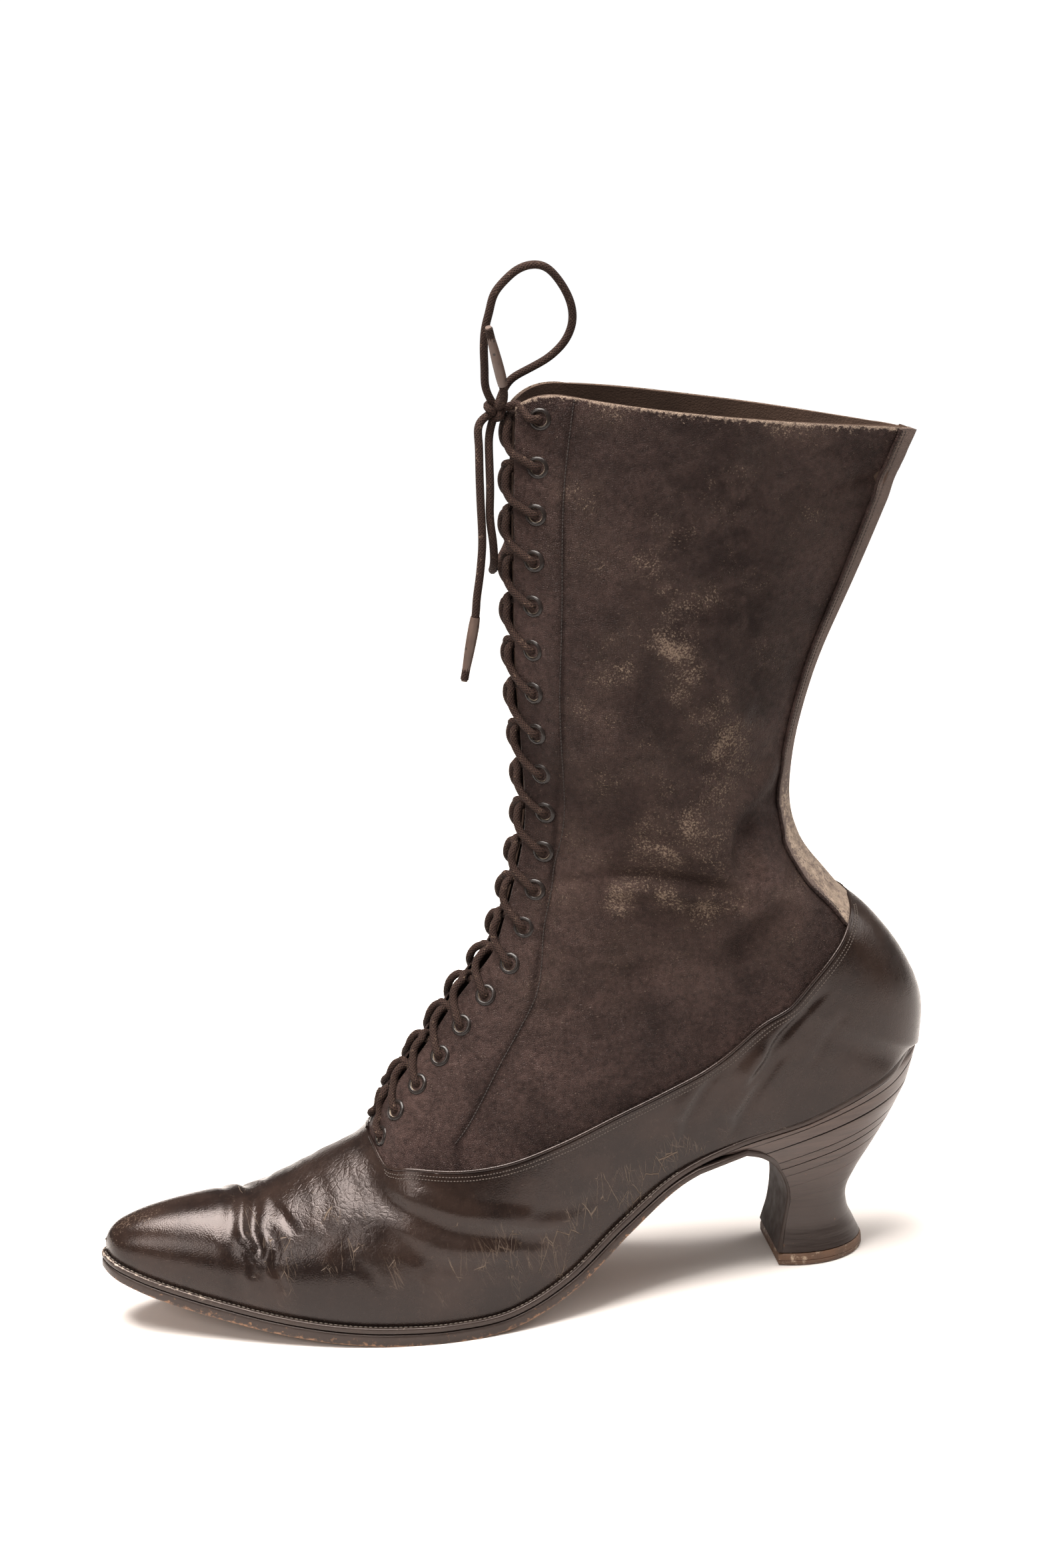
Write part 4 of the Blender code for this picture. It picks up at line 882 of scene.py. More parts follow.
def sew(name, paths, thread, pitch=STITCH_PITCH, length=STITCH_LENGTH, radius=STITCH_RADIUS):
    """Rows of stitches along paths, as one plain mesh."""
    guide = polyline(name + "_line", paths)
    line = guide.data
    mesh = set_on(name, guide, seam_tree, Pitch=pitch * MM, Length=length * MM, Radius=radius * MM,
                  Thread=thread)
    bpy.data.curves.remove(line)
    show(name, mesh, thread, smooth=80)


def below_edge(s, edge_h, side, distance, offset):
    """Points at a distance below a line on the upper, measured down the section."""
    step = 0.004
    run = np.linalg.norm(last_point(s, edge_h + step, side) - last_point(s, edge_h, side), axis=-1) / step
    h = np.clip(edge_h + distance / run, 0, 1)
    return skin(s, h, side, relief(s, h, side) + offset)


def thread_finish(name, rough, scale, detail, dark, light):
    """A sewing thread's finish, from dark to light along its length."""
    material, tree, shader = finish_material(name, Roughness=rough)
    wire(tree, shader, mix(tree, noise(tree, place_of(tree), scale, detail), dark, light))
    return material


black_thread = thread_finish("black_thread", 0.7, 900, 2, (0.012, 0.0085, 0.0072), (0.058, 0.042, 0.032))

bead_sections = np.unique(np.r_[np.linspace(9.02, 9.7, 24), np.linspace(9.7, 21.55, 240)])
beads = []
for side in (OUTER, INNER):
    h = golosh_edge(bead_sections)
    path = skin(bead_sections, h, side, relief(bead_sections, h, side) + GOLOSH_LIFT + 0.62 * GOLOSH_THICK)
    beads.append(tube("bead", path, BEAD_RADIUS, 8))
show("golosh_bead", join_meshes("golosh_bead", beads), glace)

rows = []
seam_sections = np.unique(np.r_[np.linspace(9.3, 10, 20), np.linspace(10, 21.3, 260)])
for side in (OUTER, INNER):
    for distance in GOLOSH_SEAMS:
        edge_h = golosh_edge(seam_sections)
        offset = GOLOSH_LIFT + GOLOSH_THICK + GOLOSH_SEAM_RISE
        rows.append(below_edge(seam_sections, edge_h, side, distance, offset))
sew("golosh_stitches", rows, black_thread)


def at_side_place(places, side, offset):
    """Points of the upper at places (x, z) of the side view."""
    fine_s, fine_h = np.meshgrid(np.linspace(THROAT, COLLAR, 361), np.linspace(0, 1, 241), indexing="ij")
    flat = last_point(fine_s, fine_h, OUTER)[..., (0, 2)].reshape(-1, 2)
    found = [int(np.argmin(((flat - np.array(p)) ** 2).sum(-1))) for p in places]
    s, h = fine_s.reshape(-1)[found], fine_h.reshape(-1)[found]
    return s, h, skin(s, h, side, relief(s, h, side) + offset)


facing_s, facing_h, _ = at_side_place(FACING_LINE, OUTER, 0.0)
order = np.argsort(facing_s)
line_s = np.linspace(facing_s.min(), facing_s.max(), 240)
line_h = np.interp(line_s, facing_s[order], facing_h[order])
line_h = np.convolve(np.pad(line_h, 8, "edge"), np.ones(17) / 17, "valid")
rows = []
for side in (OUTER, INNER):
    rows.append(skin(line_s, line_h, side, relief(line_s, line_h, side) + LEG_SEAM_RISE))
strip_s = np.linspace(21.1, 26.95, 200)
for side in (OUTER, INNER):
    for distance in STRIP_SEAMS:
        edge_h = np.interp(strip_s, *STRIP_EDGE.T)
        offset = STRIP_LIFT + STRIP_THICK + LEG_SEAM_RISE
        rows.append(below_edge(strip_s, edge_h, side, distance, offset))
dark_thread = thread_finish("dark_thread", 0.8, 900, 2, (0.005, 0.004, 0.004), (0.024, 0.017, 0.014))
sew("leg_stitches", rows, dark_thread, pitch=1.05, length=0.9, radius=0.15)

edge_s = np.linspace(STRIP_EDGE[0, 0] + 0.15, 26.98, 200)
folds = []
for side in (OUTER, INNER):
    h = np.interp(edge_s, *STRIP_EDGE.T)
    path = skin(edge_s, h, side, relief(edge_s, h, side) + STRIP_LIFT + 0.35)
    folds.append(tube("fold", path, STRIP_FOLD_RADIUS, 8))
show("back_strip_fold", join_meshes("back_strip_fold", folds), kid)

# Tongue: a strip of kid behind the lacing, bent round the shin and tucked under the vamp.
# It is loose above the throat and keeps room for the lace in front of it.
TONGUE_ROWS = np.array(((7.4, 0.5, 2.3), (8.4, 0.7, 2.6), (9.2, 2.2, 4.4), (10.5, 2.2, 3.8), (12.0, 2.2, 2.6),
                        (26.6, 2.2, 2.6)))
TONGUE_HALF = 17.0
TONGUE_THICK = 1.4
UPPER_WALL = 1.6


def tongue_depth(row, side, reach, clear):
    """How far behind the front of a section the tongue lies, at a reach to one side of the middle."""
    wide = row["wide_out"] if side == OUTER else row["wide_in"]
    length = np.hypot(row["base_x"] - row["front_x"], row["base_z"] - row["front_z"])
    shares = np.linspace(0, 1, 400)[:, None] * row["wide_at"]
    fullness = (1 - (1 - shares / row["wide_at"]) ** 2) ** (1 / row["front_round"])
    half = row["edge"] + (wide - row["edge"]) * fullness
    depth = [np.interp(r, half[:, k], shares[:, k]) for k, r in enumerate(reach + 1.25 * UPPER_WALL + clear)]
    return np.array(depth) * length


tongue_kid, tree, shader = finish_material("tongue_kid", Roughness=0.72)
place = place_of(tree)
tone = mix(tree, noise(tree, place, 110, 4), (0.012, 0.009, 0.008), (0.036, 0.026, 0.020))
wire(tree, shader, tone, None, grain_of(tree, place, 1000.0), 0.4, 0.0005)

tongue_sections = np.linspace(TONGUE_ROWS[0, 0], TONGUE_ROWS[-1, 0], 110)
row = section(tongue_sections)
clear, behind = (np.interp(tongue_sections, TONGUE_ROWS[:, 0], TONGUE_ROWS[:, k]) for k in (1, 2))
half = np.minimum(TONGUE_HALF, 0.72 * np.minimum(row["wide_out"], row["wide_in"]) - UPPER_WALL)
tip = np.stack((row["front_x"], row["middle"], row["front_z"]), -1)
inward = unit(np.stack((row["base_x"] - row["front_x"], 0 * clear, row["base_z"] - row["front_z"]), -1))
front, back = [], []
for a in np.linspace(-1, 1, 29):
    side = OUTER if a < 0 else INNER
    reach = abs(a) * half
    depth = tongue_depth(row, side, reach, clear)
    slope = (tongue_depth(row, side, reach + 0.5, clear) - depth) / 0.5
    thick = TONGUE_THICK * np.minimum(np.hypot(1, slope), 2.6)
    spot = tip + np.stack((0 * reach, side * reach, 0 * reach), -1) + inward * (depth + behind)[:, None]
    front.append(spot)
    back.append(spot + inward * thick[:, None])
sheets = [(np.stack(front, 1), np.stack(back, 1), False)]
show("tongue_leather", shell("tongue_leather", sheets), tongue_kid, ["tongue"])

# Insole: a plain brown leather board under the foot, cut to the last's feather edge.
# It lies loose inside, and is seen only from above through the collar.
insole_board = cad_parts["insole"]
insole_board.data.materials.clear()
insole_board.data.materials.append(lining_leather)

# Eyelets: black enamelled brass rings, twenty a side, set through the facing and rolled flat.
# The inner lip is pale brass: partly enamel rubbed off where the lace runs, partly a painted glint.
EYELETS = 20
EYELET_INSET, EYELET_START = 7.6, 5.0
EYELET_STEP_LOW, EYELET_STEP_HIGH = 10.3, 13.9
EYELET_TURNS, EYELET_RISE = 20, 0.2
# The ring's section, from its hole to its flange: radius, height above the leather
EYELET_SECTION = ((2.05, -1.5), (2.02, -0.2), (2.06, 0.25), (2.22, 0.50), (2.50, 0.62), (2.85, 0.56),
                  (3.20, 0.34), (3.40, 0.06), (3.36, -0.05), (2.6, -0.1), (2.35, -1.5))


def lacing_places():
    """The section of each eyelet, spaced along the lacing edge from the throat up."""
    fine = np.linspace(THROAT, COLLAR, 721)
    row = section(fine)
    edge = np.stack((row["front_x"], row["front_z"]), -1)
    length = run_length(edge)
    steps = np.linspace(EYELET_STEP_LOW, EYELET_STEP_HIGH, EYELETS - 1)
    return np.interp(EYELET_START + np.r_[0.0, np.cumsum(steps)], length, fine)


def eyelet_spot(s, side):
    """Centre and outward direction of the eyelet at section s."""
    shares = np.linspace(0, 0.6, 1200)
    points = last_point(np.full(1200, s), shares, side)
    h = shares[int(np.argmax(np.linalg.norm(points - points[0], axis=-1) >= EYELET_INSET))]
    return last_point(s, h, side)[0], outward(np.array([s]), np.array([h]), side)[0]


enamel, tree, shader = finish_material("eyelet_enamel", Specular_IOR_Level=0.22)
place = place_of(tree)
bare_patch = remap(tree, noise(tree, place, 350, 3), 0.35, 0.6)
# Pale inner lip: worn brass, and a painted glint ring
bare = calc(tree, "MULTIPLY", mark_of(tree, "lip"), bare_patch, clamp=True)
tone = mix(tree, noise(tree, place, 500, 3), (0.006, 0.0048, 0.0045), (0.014, 0.0108, 0.0096))
tone = mix(tree, bare, tone, (0.34, 0.28, 0.21))
wire(tree, shader, tone, remap(tree, noise(tree, place, 800, 3), 0.3, 0.7, 0.18, 0.32))

LACING = lacing_places()
ring_mesh = bpy.data.meshes.new("eyelet_ring")
shape = bmesh.new()
lip = shape.verts.layers.float.new("lip")
rings = []
for k in range(EYELET_TURNS):
    angle = 2 * math.pi * k / EYELET_TURNS
    ring = []
    for radius, up in EYELET_SECTION:
        spot = Vector((radius * math.cos(angle), radius * math.sin(angle), up + EYELET_RISE))
        vert = shape.verts.new(spot * MM)
        vert[lip] = 1.0 if up > -0.3 and radius < 2.1 else 0.0
        ring.append(vert)
    rings.append(ring)
for a, b in zip(rings, rings[1:] + rings[:1]):
    for k in range(len(EYELET_SECTION)):
        n = (k + 1) % len(EYELET_SECTION)
        shape.faces.new((a[k], b[k], b[n], a[n]))
bmesh.ops.recalc_face_normals(shape, faces=shape.faces)
shape.to_mesh(ring_mesh)
shape.free()
one_ring = placed("eyelet_ring", ring_mesh)

eyelet_spots = [eyelet_spot(s, side) for side in (OUTER, INNER) for s in LACING]
spot_mesh = bpy.data.meshes.new("eyelet_spots")
spot_mesh.from_pydata([tuple(centre * MM) for centre, _ in eyelet_spots], [], [])
facing = spot_mesh.attributes.new("facing", "FLOAT_VECTOR", "POINT")
facing.data.foreach_set("vector", np.array([normal for _, normal in eyelet_spots], np.float32).reshape(-1))

ring_tree, given = setting_tree("eyelet_setting", Ring="Object", Enamel="Material")
ring = put(ring_tree, "GeometryNodeObjectInfo", {"Object": given["Ring"]}).outputs["Geometry"]
way = put(ring_tree, "GeometryNodeInputNamedAttribute", {"Name": "facing"}, data_type="FLOAT_VECTOR")
turn = put(ring_tree, "FunctionNodeAlignRotationToVector", {"Vector": way.outputs["Attribute"]}, axis="Z")
end_setting(ring_tree, given["Enamel"], Points=given["Geometry"], Instance=ring,
            Rotation=turn.outputs["Rotation"])
spot_guide = placed("eyelet_spots", spot_mesh)
eyelet_mesh = set_on("eyelet_rings", spot_guide, ring_tree, Ring=one_ring, Enamel=enamel)
bpy.data.objects.remove(one_ring, do_unlink=True)
eyelet_nodes = [f"eyelet_{label}_{k:02d}" for label in ("outer", "inner") for k in range(1, EYELETS + 1)]
show("eyelet_rings", eyelet_mesh, enamel, eyelet_nodes, smooth=60)

# Welt and outsole: a thin strip sewn round the feather edge, and a leather outsole under it.
# The edges are inked black and burnished, and rubbed brown along the bottom.
GAP = 0.3
WELT_THICK, WELT_REACH = 1.9, 2.6
WELT_SEAM_PITCH = 1.5
HEEL_SEAT_REACH = 1.15
SOLE_THICK = np.array(((0, 3.2), (5, 3.7), (10, 3.9), (12, 3.2), (14, 2.0), (16, 1.8)))
STANCE_FLAT = 0.3
# Section of a rounded edge: inset in millimetres, share of the thickness
EDGE_PROFILE = ((0.7, 0.0), (0.30, 0.03), (0.10, 0.12), (0.0, 0.28), (0.0, 0.5), (0.0, 0.72), (0.10, 0.88),
                (0.30, 0.97), (0.7, 1.0))
BREAST = np.array((
    (67.0, 43.6, 24.4), (71.4, 42.0, 23.2), (75.2, 38.8, 20.8), (78.4, 34.2, 17.8), (80.8, 28.6, 15.0),
    (81.8, 23.6, 12.9), (81.4, 18.6, 11.6), (80.4, 13.0, 11.2), (79.2, 8.0, 12.0), (78.5, 4.7, 13.0),
))
BREAST_THICK, BREAST_STEPS = 1.8, 60


def sole_down(s):
    """The direction across the sole's thickness at section s."""
    before, after = section(np.maximum(s - 0.05, 0)), section(np.minimum(s + 0.05, HEEL_BACK))
    run = np.arctan2(after["base_z"] - before["base_z"], after["base_x"] - before["base_x"])
    tilt = np.clip((s - 10) / 2, 0, 1) * run
    return np.stack((np.sin(tilt), 0 * tilt, -np.cos(tilt)), -1)


def sole_edge(s, side, reach):
    """Edge points of a sole layer that stands out from the upper by reach, and the way out of the edge."""
    down = sole_down(s)
    near_s, near_h = np.maximum(s, 0.03), np.full(s.shape, 0.996)
    away = outward(near_s, near_h, side)
    both = outward(near_s, near_h, OUTER) + outward(near_s, near_h, INNER)
    both[..., 1] = 0.0
    joined = (s < 1e-6) | (s > HEEL_BACK - 1e-6)
    away = np.where(joined[..., None], both, away)
    away = unit(away - down * (away * down).sum(-1)[..., None])
    return last_point(s, np.ones(s.shape), side) - down * 0.12 + away * reach, away, down


def catmull(table, count):
    """A table's rows with smooth rows between them."""
    table = np.asarray(table, float)
    places = np.linspace(0, len(table) - 1, count)
    i = np.minimum(places.astype(int), len(table) - 2)
    t = (places - i)[:, None]
    a, b, c, d = (table[np.clip(i + k, 0, len(table) - 1)] for k in (-1, 0, 1, 2))
    return cubic(a, b, c, d, t)


def layer_mesh(name, rows_by_side, marks):
    """A closed sole layer from rows of points round its edge, one set for each side."""
    points = np.concatenate([rows.reshape(-1, 3) for rows in rows_by_side])
    first, where = welded(points)
    faces, start = [], 0
    caps = []
    for n, rows in enumerate(rows_by_side):
        count, across = rows.shape[:2]
        grid = where[start:start + count * across].reshape(count, across)
        start += count * across
        quads = quads_of(grid)
        faces += (quads if n else quads[:, ::-1]).tolist()
        caps.append(list(grid[-1]))
    faces.append(caps[0] + caps[1][::-1])
    faces = [tuple(dict.fromkeys(int(k) for k in loop)) for loop in faces]
    faces = [loop for loop in faces if len(loop) > 2]
    mesh = bpy.data.meshes.new(name)
    mesh.from_pydata(points[first] * MM, [], faces)
    add_mark(mesh, "low_edge", np.concatenate([mark.reshape(-1) for mark in marks])[first])
    return turned_out(mesh)


def edge_rows(edge, away, down, top, bottom):
    """Rows of points round a layer's rounded edge, from its top to its bottom."""
    thick = bottom - top
    return [edge - away * inset + down * (top + thick * share)[:, None] for inset, share in EDGE_PROFILE]


def across_rows(rims):
    """The rows of both sides, joined along the middle of the top and of the bottom."""
    top, low = (0.5 * (rims[OUTER][k] + rims[INNER][k]) for k in (0, -1))
    return [np.stack([top, *rims[side], low], 1) for side in (OUTER, INNER)]


def sole_finish(name, bare):
    """Inked and burnished sole leather. bare is its colour where the ink has rubbed off."""
    material, tree, shader = finish_material(name, Specular_IOR_Level=0.40,
                                             Specular_Tint=(1.0, 0.88, 0.84, 1.0))
    place = place_of(tree)
    mark = mark_of(tree, "low_edge")
    low_rub = worn_off(tree, place, 800.0, 200.0, mark)
    tone = mix(tree, noise(tree, place, 150, 4), (0.0085, 0.0062, 0.0056), (0.026, 0.0182, 0.0148))
    tone = mix(tree, low_rub, tone, bare)
    turned = calc(tree, "MULTIPLY", mark, -1.0, clamp=True)
    tone = mix(tree, turned, tone, (0.0190, 0.0132, 0.0112))
    rough = remap(tree, noise(tree, place, 300, 4), 0.3, 0.7, 0.30, 0.52)
    rough = calc(tree, "MULTIPLY_ADD", turned, 0.4, rough)
    wire(tree, shader, tone, rough, noise(tree, place, 600, 4, 0.6), 0.25, 0.0004)
    return material


inked = sole_finish("inked_sole_edge", (0.16, 0.085, 0.045))
inked_welt = sole_finish("inked_welt_edge", (0.27, 0.225, 0.185))

near_tip, near_back = (0.0, 0.05, 0.12, 0.22), (17.75, 17.88, 17.95, HEEL_BACK)
welt_s = np.unique(np.r_[near_tip, even_sections(0.3, 17.6, 1.7, 1.0), near_back])
rims = {}
for side in (OUTER, INNER):
    reach = np.interp(welt_s, (13.4, 15.6), (WELT_REACH, HEEL_SEAT_REACH))
    edge, away, down = sole_edge(welt_s, side, reach[:, None])
    top, bottom = np.full(welt_s.shape, GAP), np.full(welt_s.shape, GAP + WELT_THICK)
    rims[side] = edge_rows(edge, away, down, top, bottom)
near_toe = np.interp(welt_s, (0, 3, 5, 8), (1.05, 0.85, 0.55, 0.35))[:, None]
rub = near_toe * np.r_[0.0, 0.7, 1.1, 0.8, 0.35, 0.3, 0.3, 0.3, 0.3, 0.3, 0.0]
welt_mesh = layer_mesh("welt_strip", across_rows(rims), (rub, rub))
show("welt_strip", welt_mesh, inked_welt, ["welt"], smooth=60)

sole_s = np.unique(np.r_[near_tip, even_sections(0.3, 14.3, 1.7, 1.0)])
start = GAP + WELT_THICK + GAP
thick = np.interp(sole_s, *SOLE_THICK.T)
breast = catmull(BREAST, BREAST_STEPS)
ahead = unit(np.gradient(np.stack((breast[:, 0], 0 * breast[:, 0], breast[:, 1]), -1), axis=0))
breast_in = np.stack((-ahead[:, 2], 0 * ahead[:, 0], ahead[:, 0]), -1)
sole_middle = float(section(np.array([16.0]))["middle"][0])
rims = {}
for side in (OUTER, INNER):
    edge, away, down = sole_edge(sole_s, side, WELT_REACH)
    ring = edge_rows(edge, away, down, np.full(sole_s.shape, start), start + thick)
    for k in (7, 8):
        ring[k][:, 2] = np.where(ring[k][:, 2] > STANCE_FLAT, ring[k][:, 2], 0.0)
    for points in ring:
        points[:, 2] = np.maximum(points[:, 2], 0.0)
    face = np.stack((breast[:, 0], sole_middle + side * breast[:, 2], breast[:, 1]), -1)
    out = np.tile((0.0, float(side), 0.0), (BREAST_STEPS, 1))
    turned = edge_rows(face, out, -breast_in, np.full(BREAST_STEPS, -BREAST_THICK), np.zeros(BREAST_STEPS))
    rims[side] = [np.concatenate((a, b)) for a, b in zip(ring, turned)]
rub = np.tile((0.0, 0.2, 0.2, 0.2, 0.3, 0.4, 0.6, 0.95, 1.3, 1.4, 1.3), (len(sole_s) + BREAST_STEPS, 1))
rub[len(sole_s) - 4:] = np.minimum(rub[len(sole_s) - 4:], 0.15)
rub[len(sole_s) + 4:] = np.where(np.arange(rub.shape[1]) < 7, 0.1, -1.0)
sole_mesh = layer_mesh("outsole_leather", across_rows(rims), (rub, rub))
show("outsole_leather", sole_mesh, inked, ["outsole"], smooth=60)

grey_thread = thread_finish("welt_thread", 0.75, 500, 3, (0.020, 0.017, 0.015), (0.15, 0.125, 0.10))
welt_line = even_sections(0.25, 14.0, WELT_SEAM_PITCH, 1.0)
rows = []
for side in (OUTER, INNER):
    edge, away, down = sole_edge(welt_line, side, WELT_REACH - 1.0)
    rows.append(edge + down * (GAP - 0.05))
sew("welt_stitches", rows, grey_thread, pitch=WELT_SEAM_PITCH, length=1.15, radius=0.2)

# Heel: a waisted block of stacked leather lifts, inked and burnished to satin.
# The upper lifts have opened a little, and show as thin dark lines that follow the seat.
HEEL_LEVELS = np.array((
    (57.0, 45.0, 126.4, 63.6, 24.9, 0.97), (74.4, 41.2, 122.0, 54.9, 22.2, 0.95),
    (79.2, 34.6, 117.6, 46.2, 19.2, 0.94), (81.8, 28.4, 112.4, 37.4, 16.4, 0.93),
    (82.8, 22.6, 106.8, 28.4, 13.9, 0.93), (82.4, 17.6, 103.2, 20.6, 12.4, 0.93),
    (81.5, 12.6, 103.2, 13.8, 12.2, 0.93), (80.6, 8.0, 105.2, 8.6, 13.2, 0.92),
    (80.0, 4.4, 107.0, 4.4, 14.3, 0.90),
))
HEEL_WIDEST = 0.36
# Lines between the lifts: level, and depth in millimetres
LIFT_LINES = ((0.42, 0.16), (0.82, 0.30), (1.55, 0.16), (1.95, 0.24), (2.45, 0.14), (3.2, 0.08), (4.1, 0.06))


def heel_ring(level, count=44):
    """One level of the heel: flat at the front, widest before the middle, round at the back."""
    fx, fz, bx, bz, half, front_share = level
    ring = []
    for side in (OUTER, INNER):
        t = np.linspace(0, 1, count) if side == OUTER else np.linspace(1, 0, count)[1:]
        share = 1 - (1 - t) ** 1.6
        fall = 1 - share / HEEL_WIDEST
        front = half * (1 - (1 - front_share) * fall**2)
        round_back = half * np.sqrt(np.clip(1 - ((share - HEEL_WIDEST) / (1 - HEEL_WIDEST)) ** 2, 0, 1))
        width = np.where(share < HEEL_WIDEST, front, round_back)
        x, z = fx + (bx - fx) * share, fz + (bz - fz) * share
        ring.append(np.stack((x, sole_middle + side * width, z), -1))
    return np.concatenate(ring)


def loft_mesh(name, rings, cuts=None):
    """A closed solid through rings of equal count, with flat ends. cuts marks how deep each ring is cut."""
    count = len(rings[0])
    faces = [tuple(range(count)), tuple(len(rings) * count - 1 - k for k in range(count))]
    for start in range(0, (len(rings) - 1) * count, count):
        for k in range(count):
            beside = start + (k + 1) % count
            faces.append((start + k, start + k + count, beside + count, beside))
    mesh = bpy.data.meshes.new(name)
    mesh.from_pydata(np.concatenate(rings) * MM, [], faces)
    if cuts is not None:
        add_mark(mesh, "lift", np.repeat(cuts, count))
    return turned_out(mesh)


stack, tree, shader = finish_material("burnished_stack", Specular_IOR_Level=0.5,
                                      Specular_Tint=(1.0, 0.90, 0.87, 1.0))
place = place_of(tree)
streak = noise(tree, stretched(tree, place, 0.32, (60.0, 60.0, 900.0)), 1.0, 4, 0.6)
tone = mix(tree, remap(tree, streak, 0.3, 0.7), (0.020, 0.0132, 0.0112), (0.052, 0.0355, 0.0292))
up_way = put(tree, "ShaderNodeSeparateXYZ", {"Vector": place}).outputs["Z"]
# Painted shade: the heel darkens towards its bottom
tone = mix(tree, remap(tree, up_way, 0.040, 0.012, 0.0, 0.85), tone, (0.0085, 0.0056, 0.0048))
tone = mix(tree, mark_of(tree, "lift"), tone, (0.0020, 0.0017, 0.0015))
nick = worn_off(tree, place, 500.0, 300.0, 0.22)
tone = mix(tree, nick, tone, (0.17, 0.075, 0.035))
wire(tree, shader, tone, remap(tree, streak, 0.3, 0.7, 0.28, 0.42), streak, 0.25, 0.0003)

lowest = len(HEEL_LEVELS) - 1
levels = np.linspace(0, lowest, 121)
for line, _ in LIFT_LINES:
    levels = np.r_[levels, line - 0.03, line - 0.012, line, line + 0.012, line + 0.03]
levels = np.unique(np.clip(levels, 0, lowest))
fine_levels = catmull(HEEL_LEVELS, 2001)
table = np.array([fine_levels[int(round(v / lowest * 2000))] for v in levels])
seat = section(np.linspace(14, HEEL_BACK, 60))
seat_x, seat_height = np.r_[seat["base_x"], 129.0], np.r_[seat["base_z"], 68.2]
seat_s = np.linspace(13.8, HEEL_BACK, 90)
seat_edge = {side: sole_edge(seat_s, side, HEEL_SEAT_REACH)[0] for side in (OUTER, INNER)}
rings, depths = [], []
for level, row in zip(levels, table):
    ring = heel_ring(row)
    way = np.sign(ring[:, 1] - sole_middle)
    for side in (OUTER, INNER):
        edge_y = np.interp(ring[:, 0], seat_edge[side][:, 0], seat_edge[side][:, 1])
        ring[:, 1] += np.where(way == side, (edge_y - ring[:, 1]) * np.clip(1 - level / 1.5, 0, 1) ** 2, 0.0)
    seat_z = np.interp(ring[:, 0], seat_x, seat_height) - 1.04 * (GAP + WELT_THICK) - 0.06
    ring[:, 2] += (seat_z - ring[:, 2]) * np.clip(1 - level, 0, 1) ** 2
    cut = sum(depth * max(0.0, 1 - abs(level - line) / 0.025) for line, depth in LIFT_LINES)
    centre = ring.mean(0)
    ring[:, :2] -= unit((ring - centre)[:, :2]) * cut
    rings.append(ring)
    depths.append(min(1.0, cut / 0.10))
show("heel_block", loft_mesh("heel_block", rings, depths), stack, ["heel"], smooth=50)

# Top piece: the hard leather lift that the heel stands on, nailed under the block.
# Its edge is scuffed and rubbed tan and brown.
TOP_PIECE_FRONT, TOP_PIECE_BACK = 78.6, 107.6
TOP_PIECE_HALF, TOP_PIECE_FRONT_SHARE = 14.7, 0.86
# Section of its edge: height, share of full size
TOP_PIECE_EDGE = ((0.0, 0.955), (0.25, 0.985), (0.8, 1.0), (1.6, 1.0), (1.75, 0.985), (1.9, 1.0),
                  (3.0, 0.995), (3.6, 0.985), (4.0, 0.965))

tread, tree, shader = finish_material("worn_top_piece", Roughness=0.62)
place = place_of(tree)
tread_tone = mix(tree, noise(tree, place, 160, 4, 0.6), (0.030, 0.017, 0.010), (0.120, 0.058, 0.028))
chalk = worn_off(tree, place, 420.0, 200.0, 0.62)
tread_tone = mix(tree, chalk, tread_tone, (0.30, 0.235, 0.17))
wire(tree, shader, tread_tone, None, noise(tree, place, 500, 4), 0.5, 0.0006)
rings = []
for z, size in TOP_PIECE_EDGE[::-1]:
    ring = heel_ring((TOP_PIECE_FRONT, z, TOP_PIECE_BACK, z, TOP_PIECE_HALF, TOP_PIECE_FRONT_SHARE))
    centre = np.array((0.5 * (TOP_PIECE_FRONT + TOP_PIECE_BACK), sole_middle, z))
    rings.append(centre + (ring - centre) * np.array((size, size, 1.0)))
lift_mesh = loft_mesh("top_piece_lift", rings)
show("top_piece_lift", lift_mesh, tread, ["top_piece"], smooth=50)

# Lace: one round braided cotton cord, dark brown with tan flecks where its dye has worn.
# Each half comes out of an eyelet, arches over the facing's edge and goes in under the other side.
LACE_RADIUS, LACE_PITCH = 1.2, 0.8
PATH_STEPS = 10
KNOT = np.array((3.9, 3.2, 275.8))
KNOT_RADII = np.array((3.4, 3.2, 2.9))
# Where a strand wraps the lacing edge: share of the step up, share of the way out to the edge, forward
EDGE_WRAP = ((0.16, 1.0, 0.9), (0.34, 0.95, 2.2), (0.54, 0.8, 2.3), (0.72, 0.55, 1.6), (0.86, 0.0, 0.0))


def smooth_path(points):
    return catmull(points, (len(points) - 1) * PATH_STEPS + 1)


def even_path(points, pitch):
    """Points about one pitch apart along a line."""
    length = run_length(points)
    places = np.linspace(0, length[-1], max(int(length[-1] / pitch), 2) + 1)
    return np.stack([np.interp(places, length, points[:, k]) for k in range(3)], -1)


def eased(path, reach):
    """A line with its small kinks taken out, and its ends kept."""
    steps = np.arange(-reach, reach + 1)
    weight = np.exp(-((steps / (0.5 * reach)) ** 2))
    wide = np.concatenate((2 * path[0] - path[reach:0:-1], path, 2 * path[-1] - path[-2:-reach - 2:-1]))
    return np.stack([np.convolve(wide[:, k], weight / weight.sum(), "valid") for k in range(3)], -1)


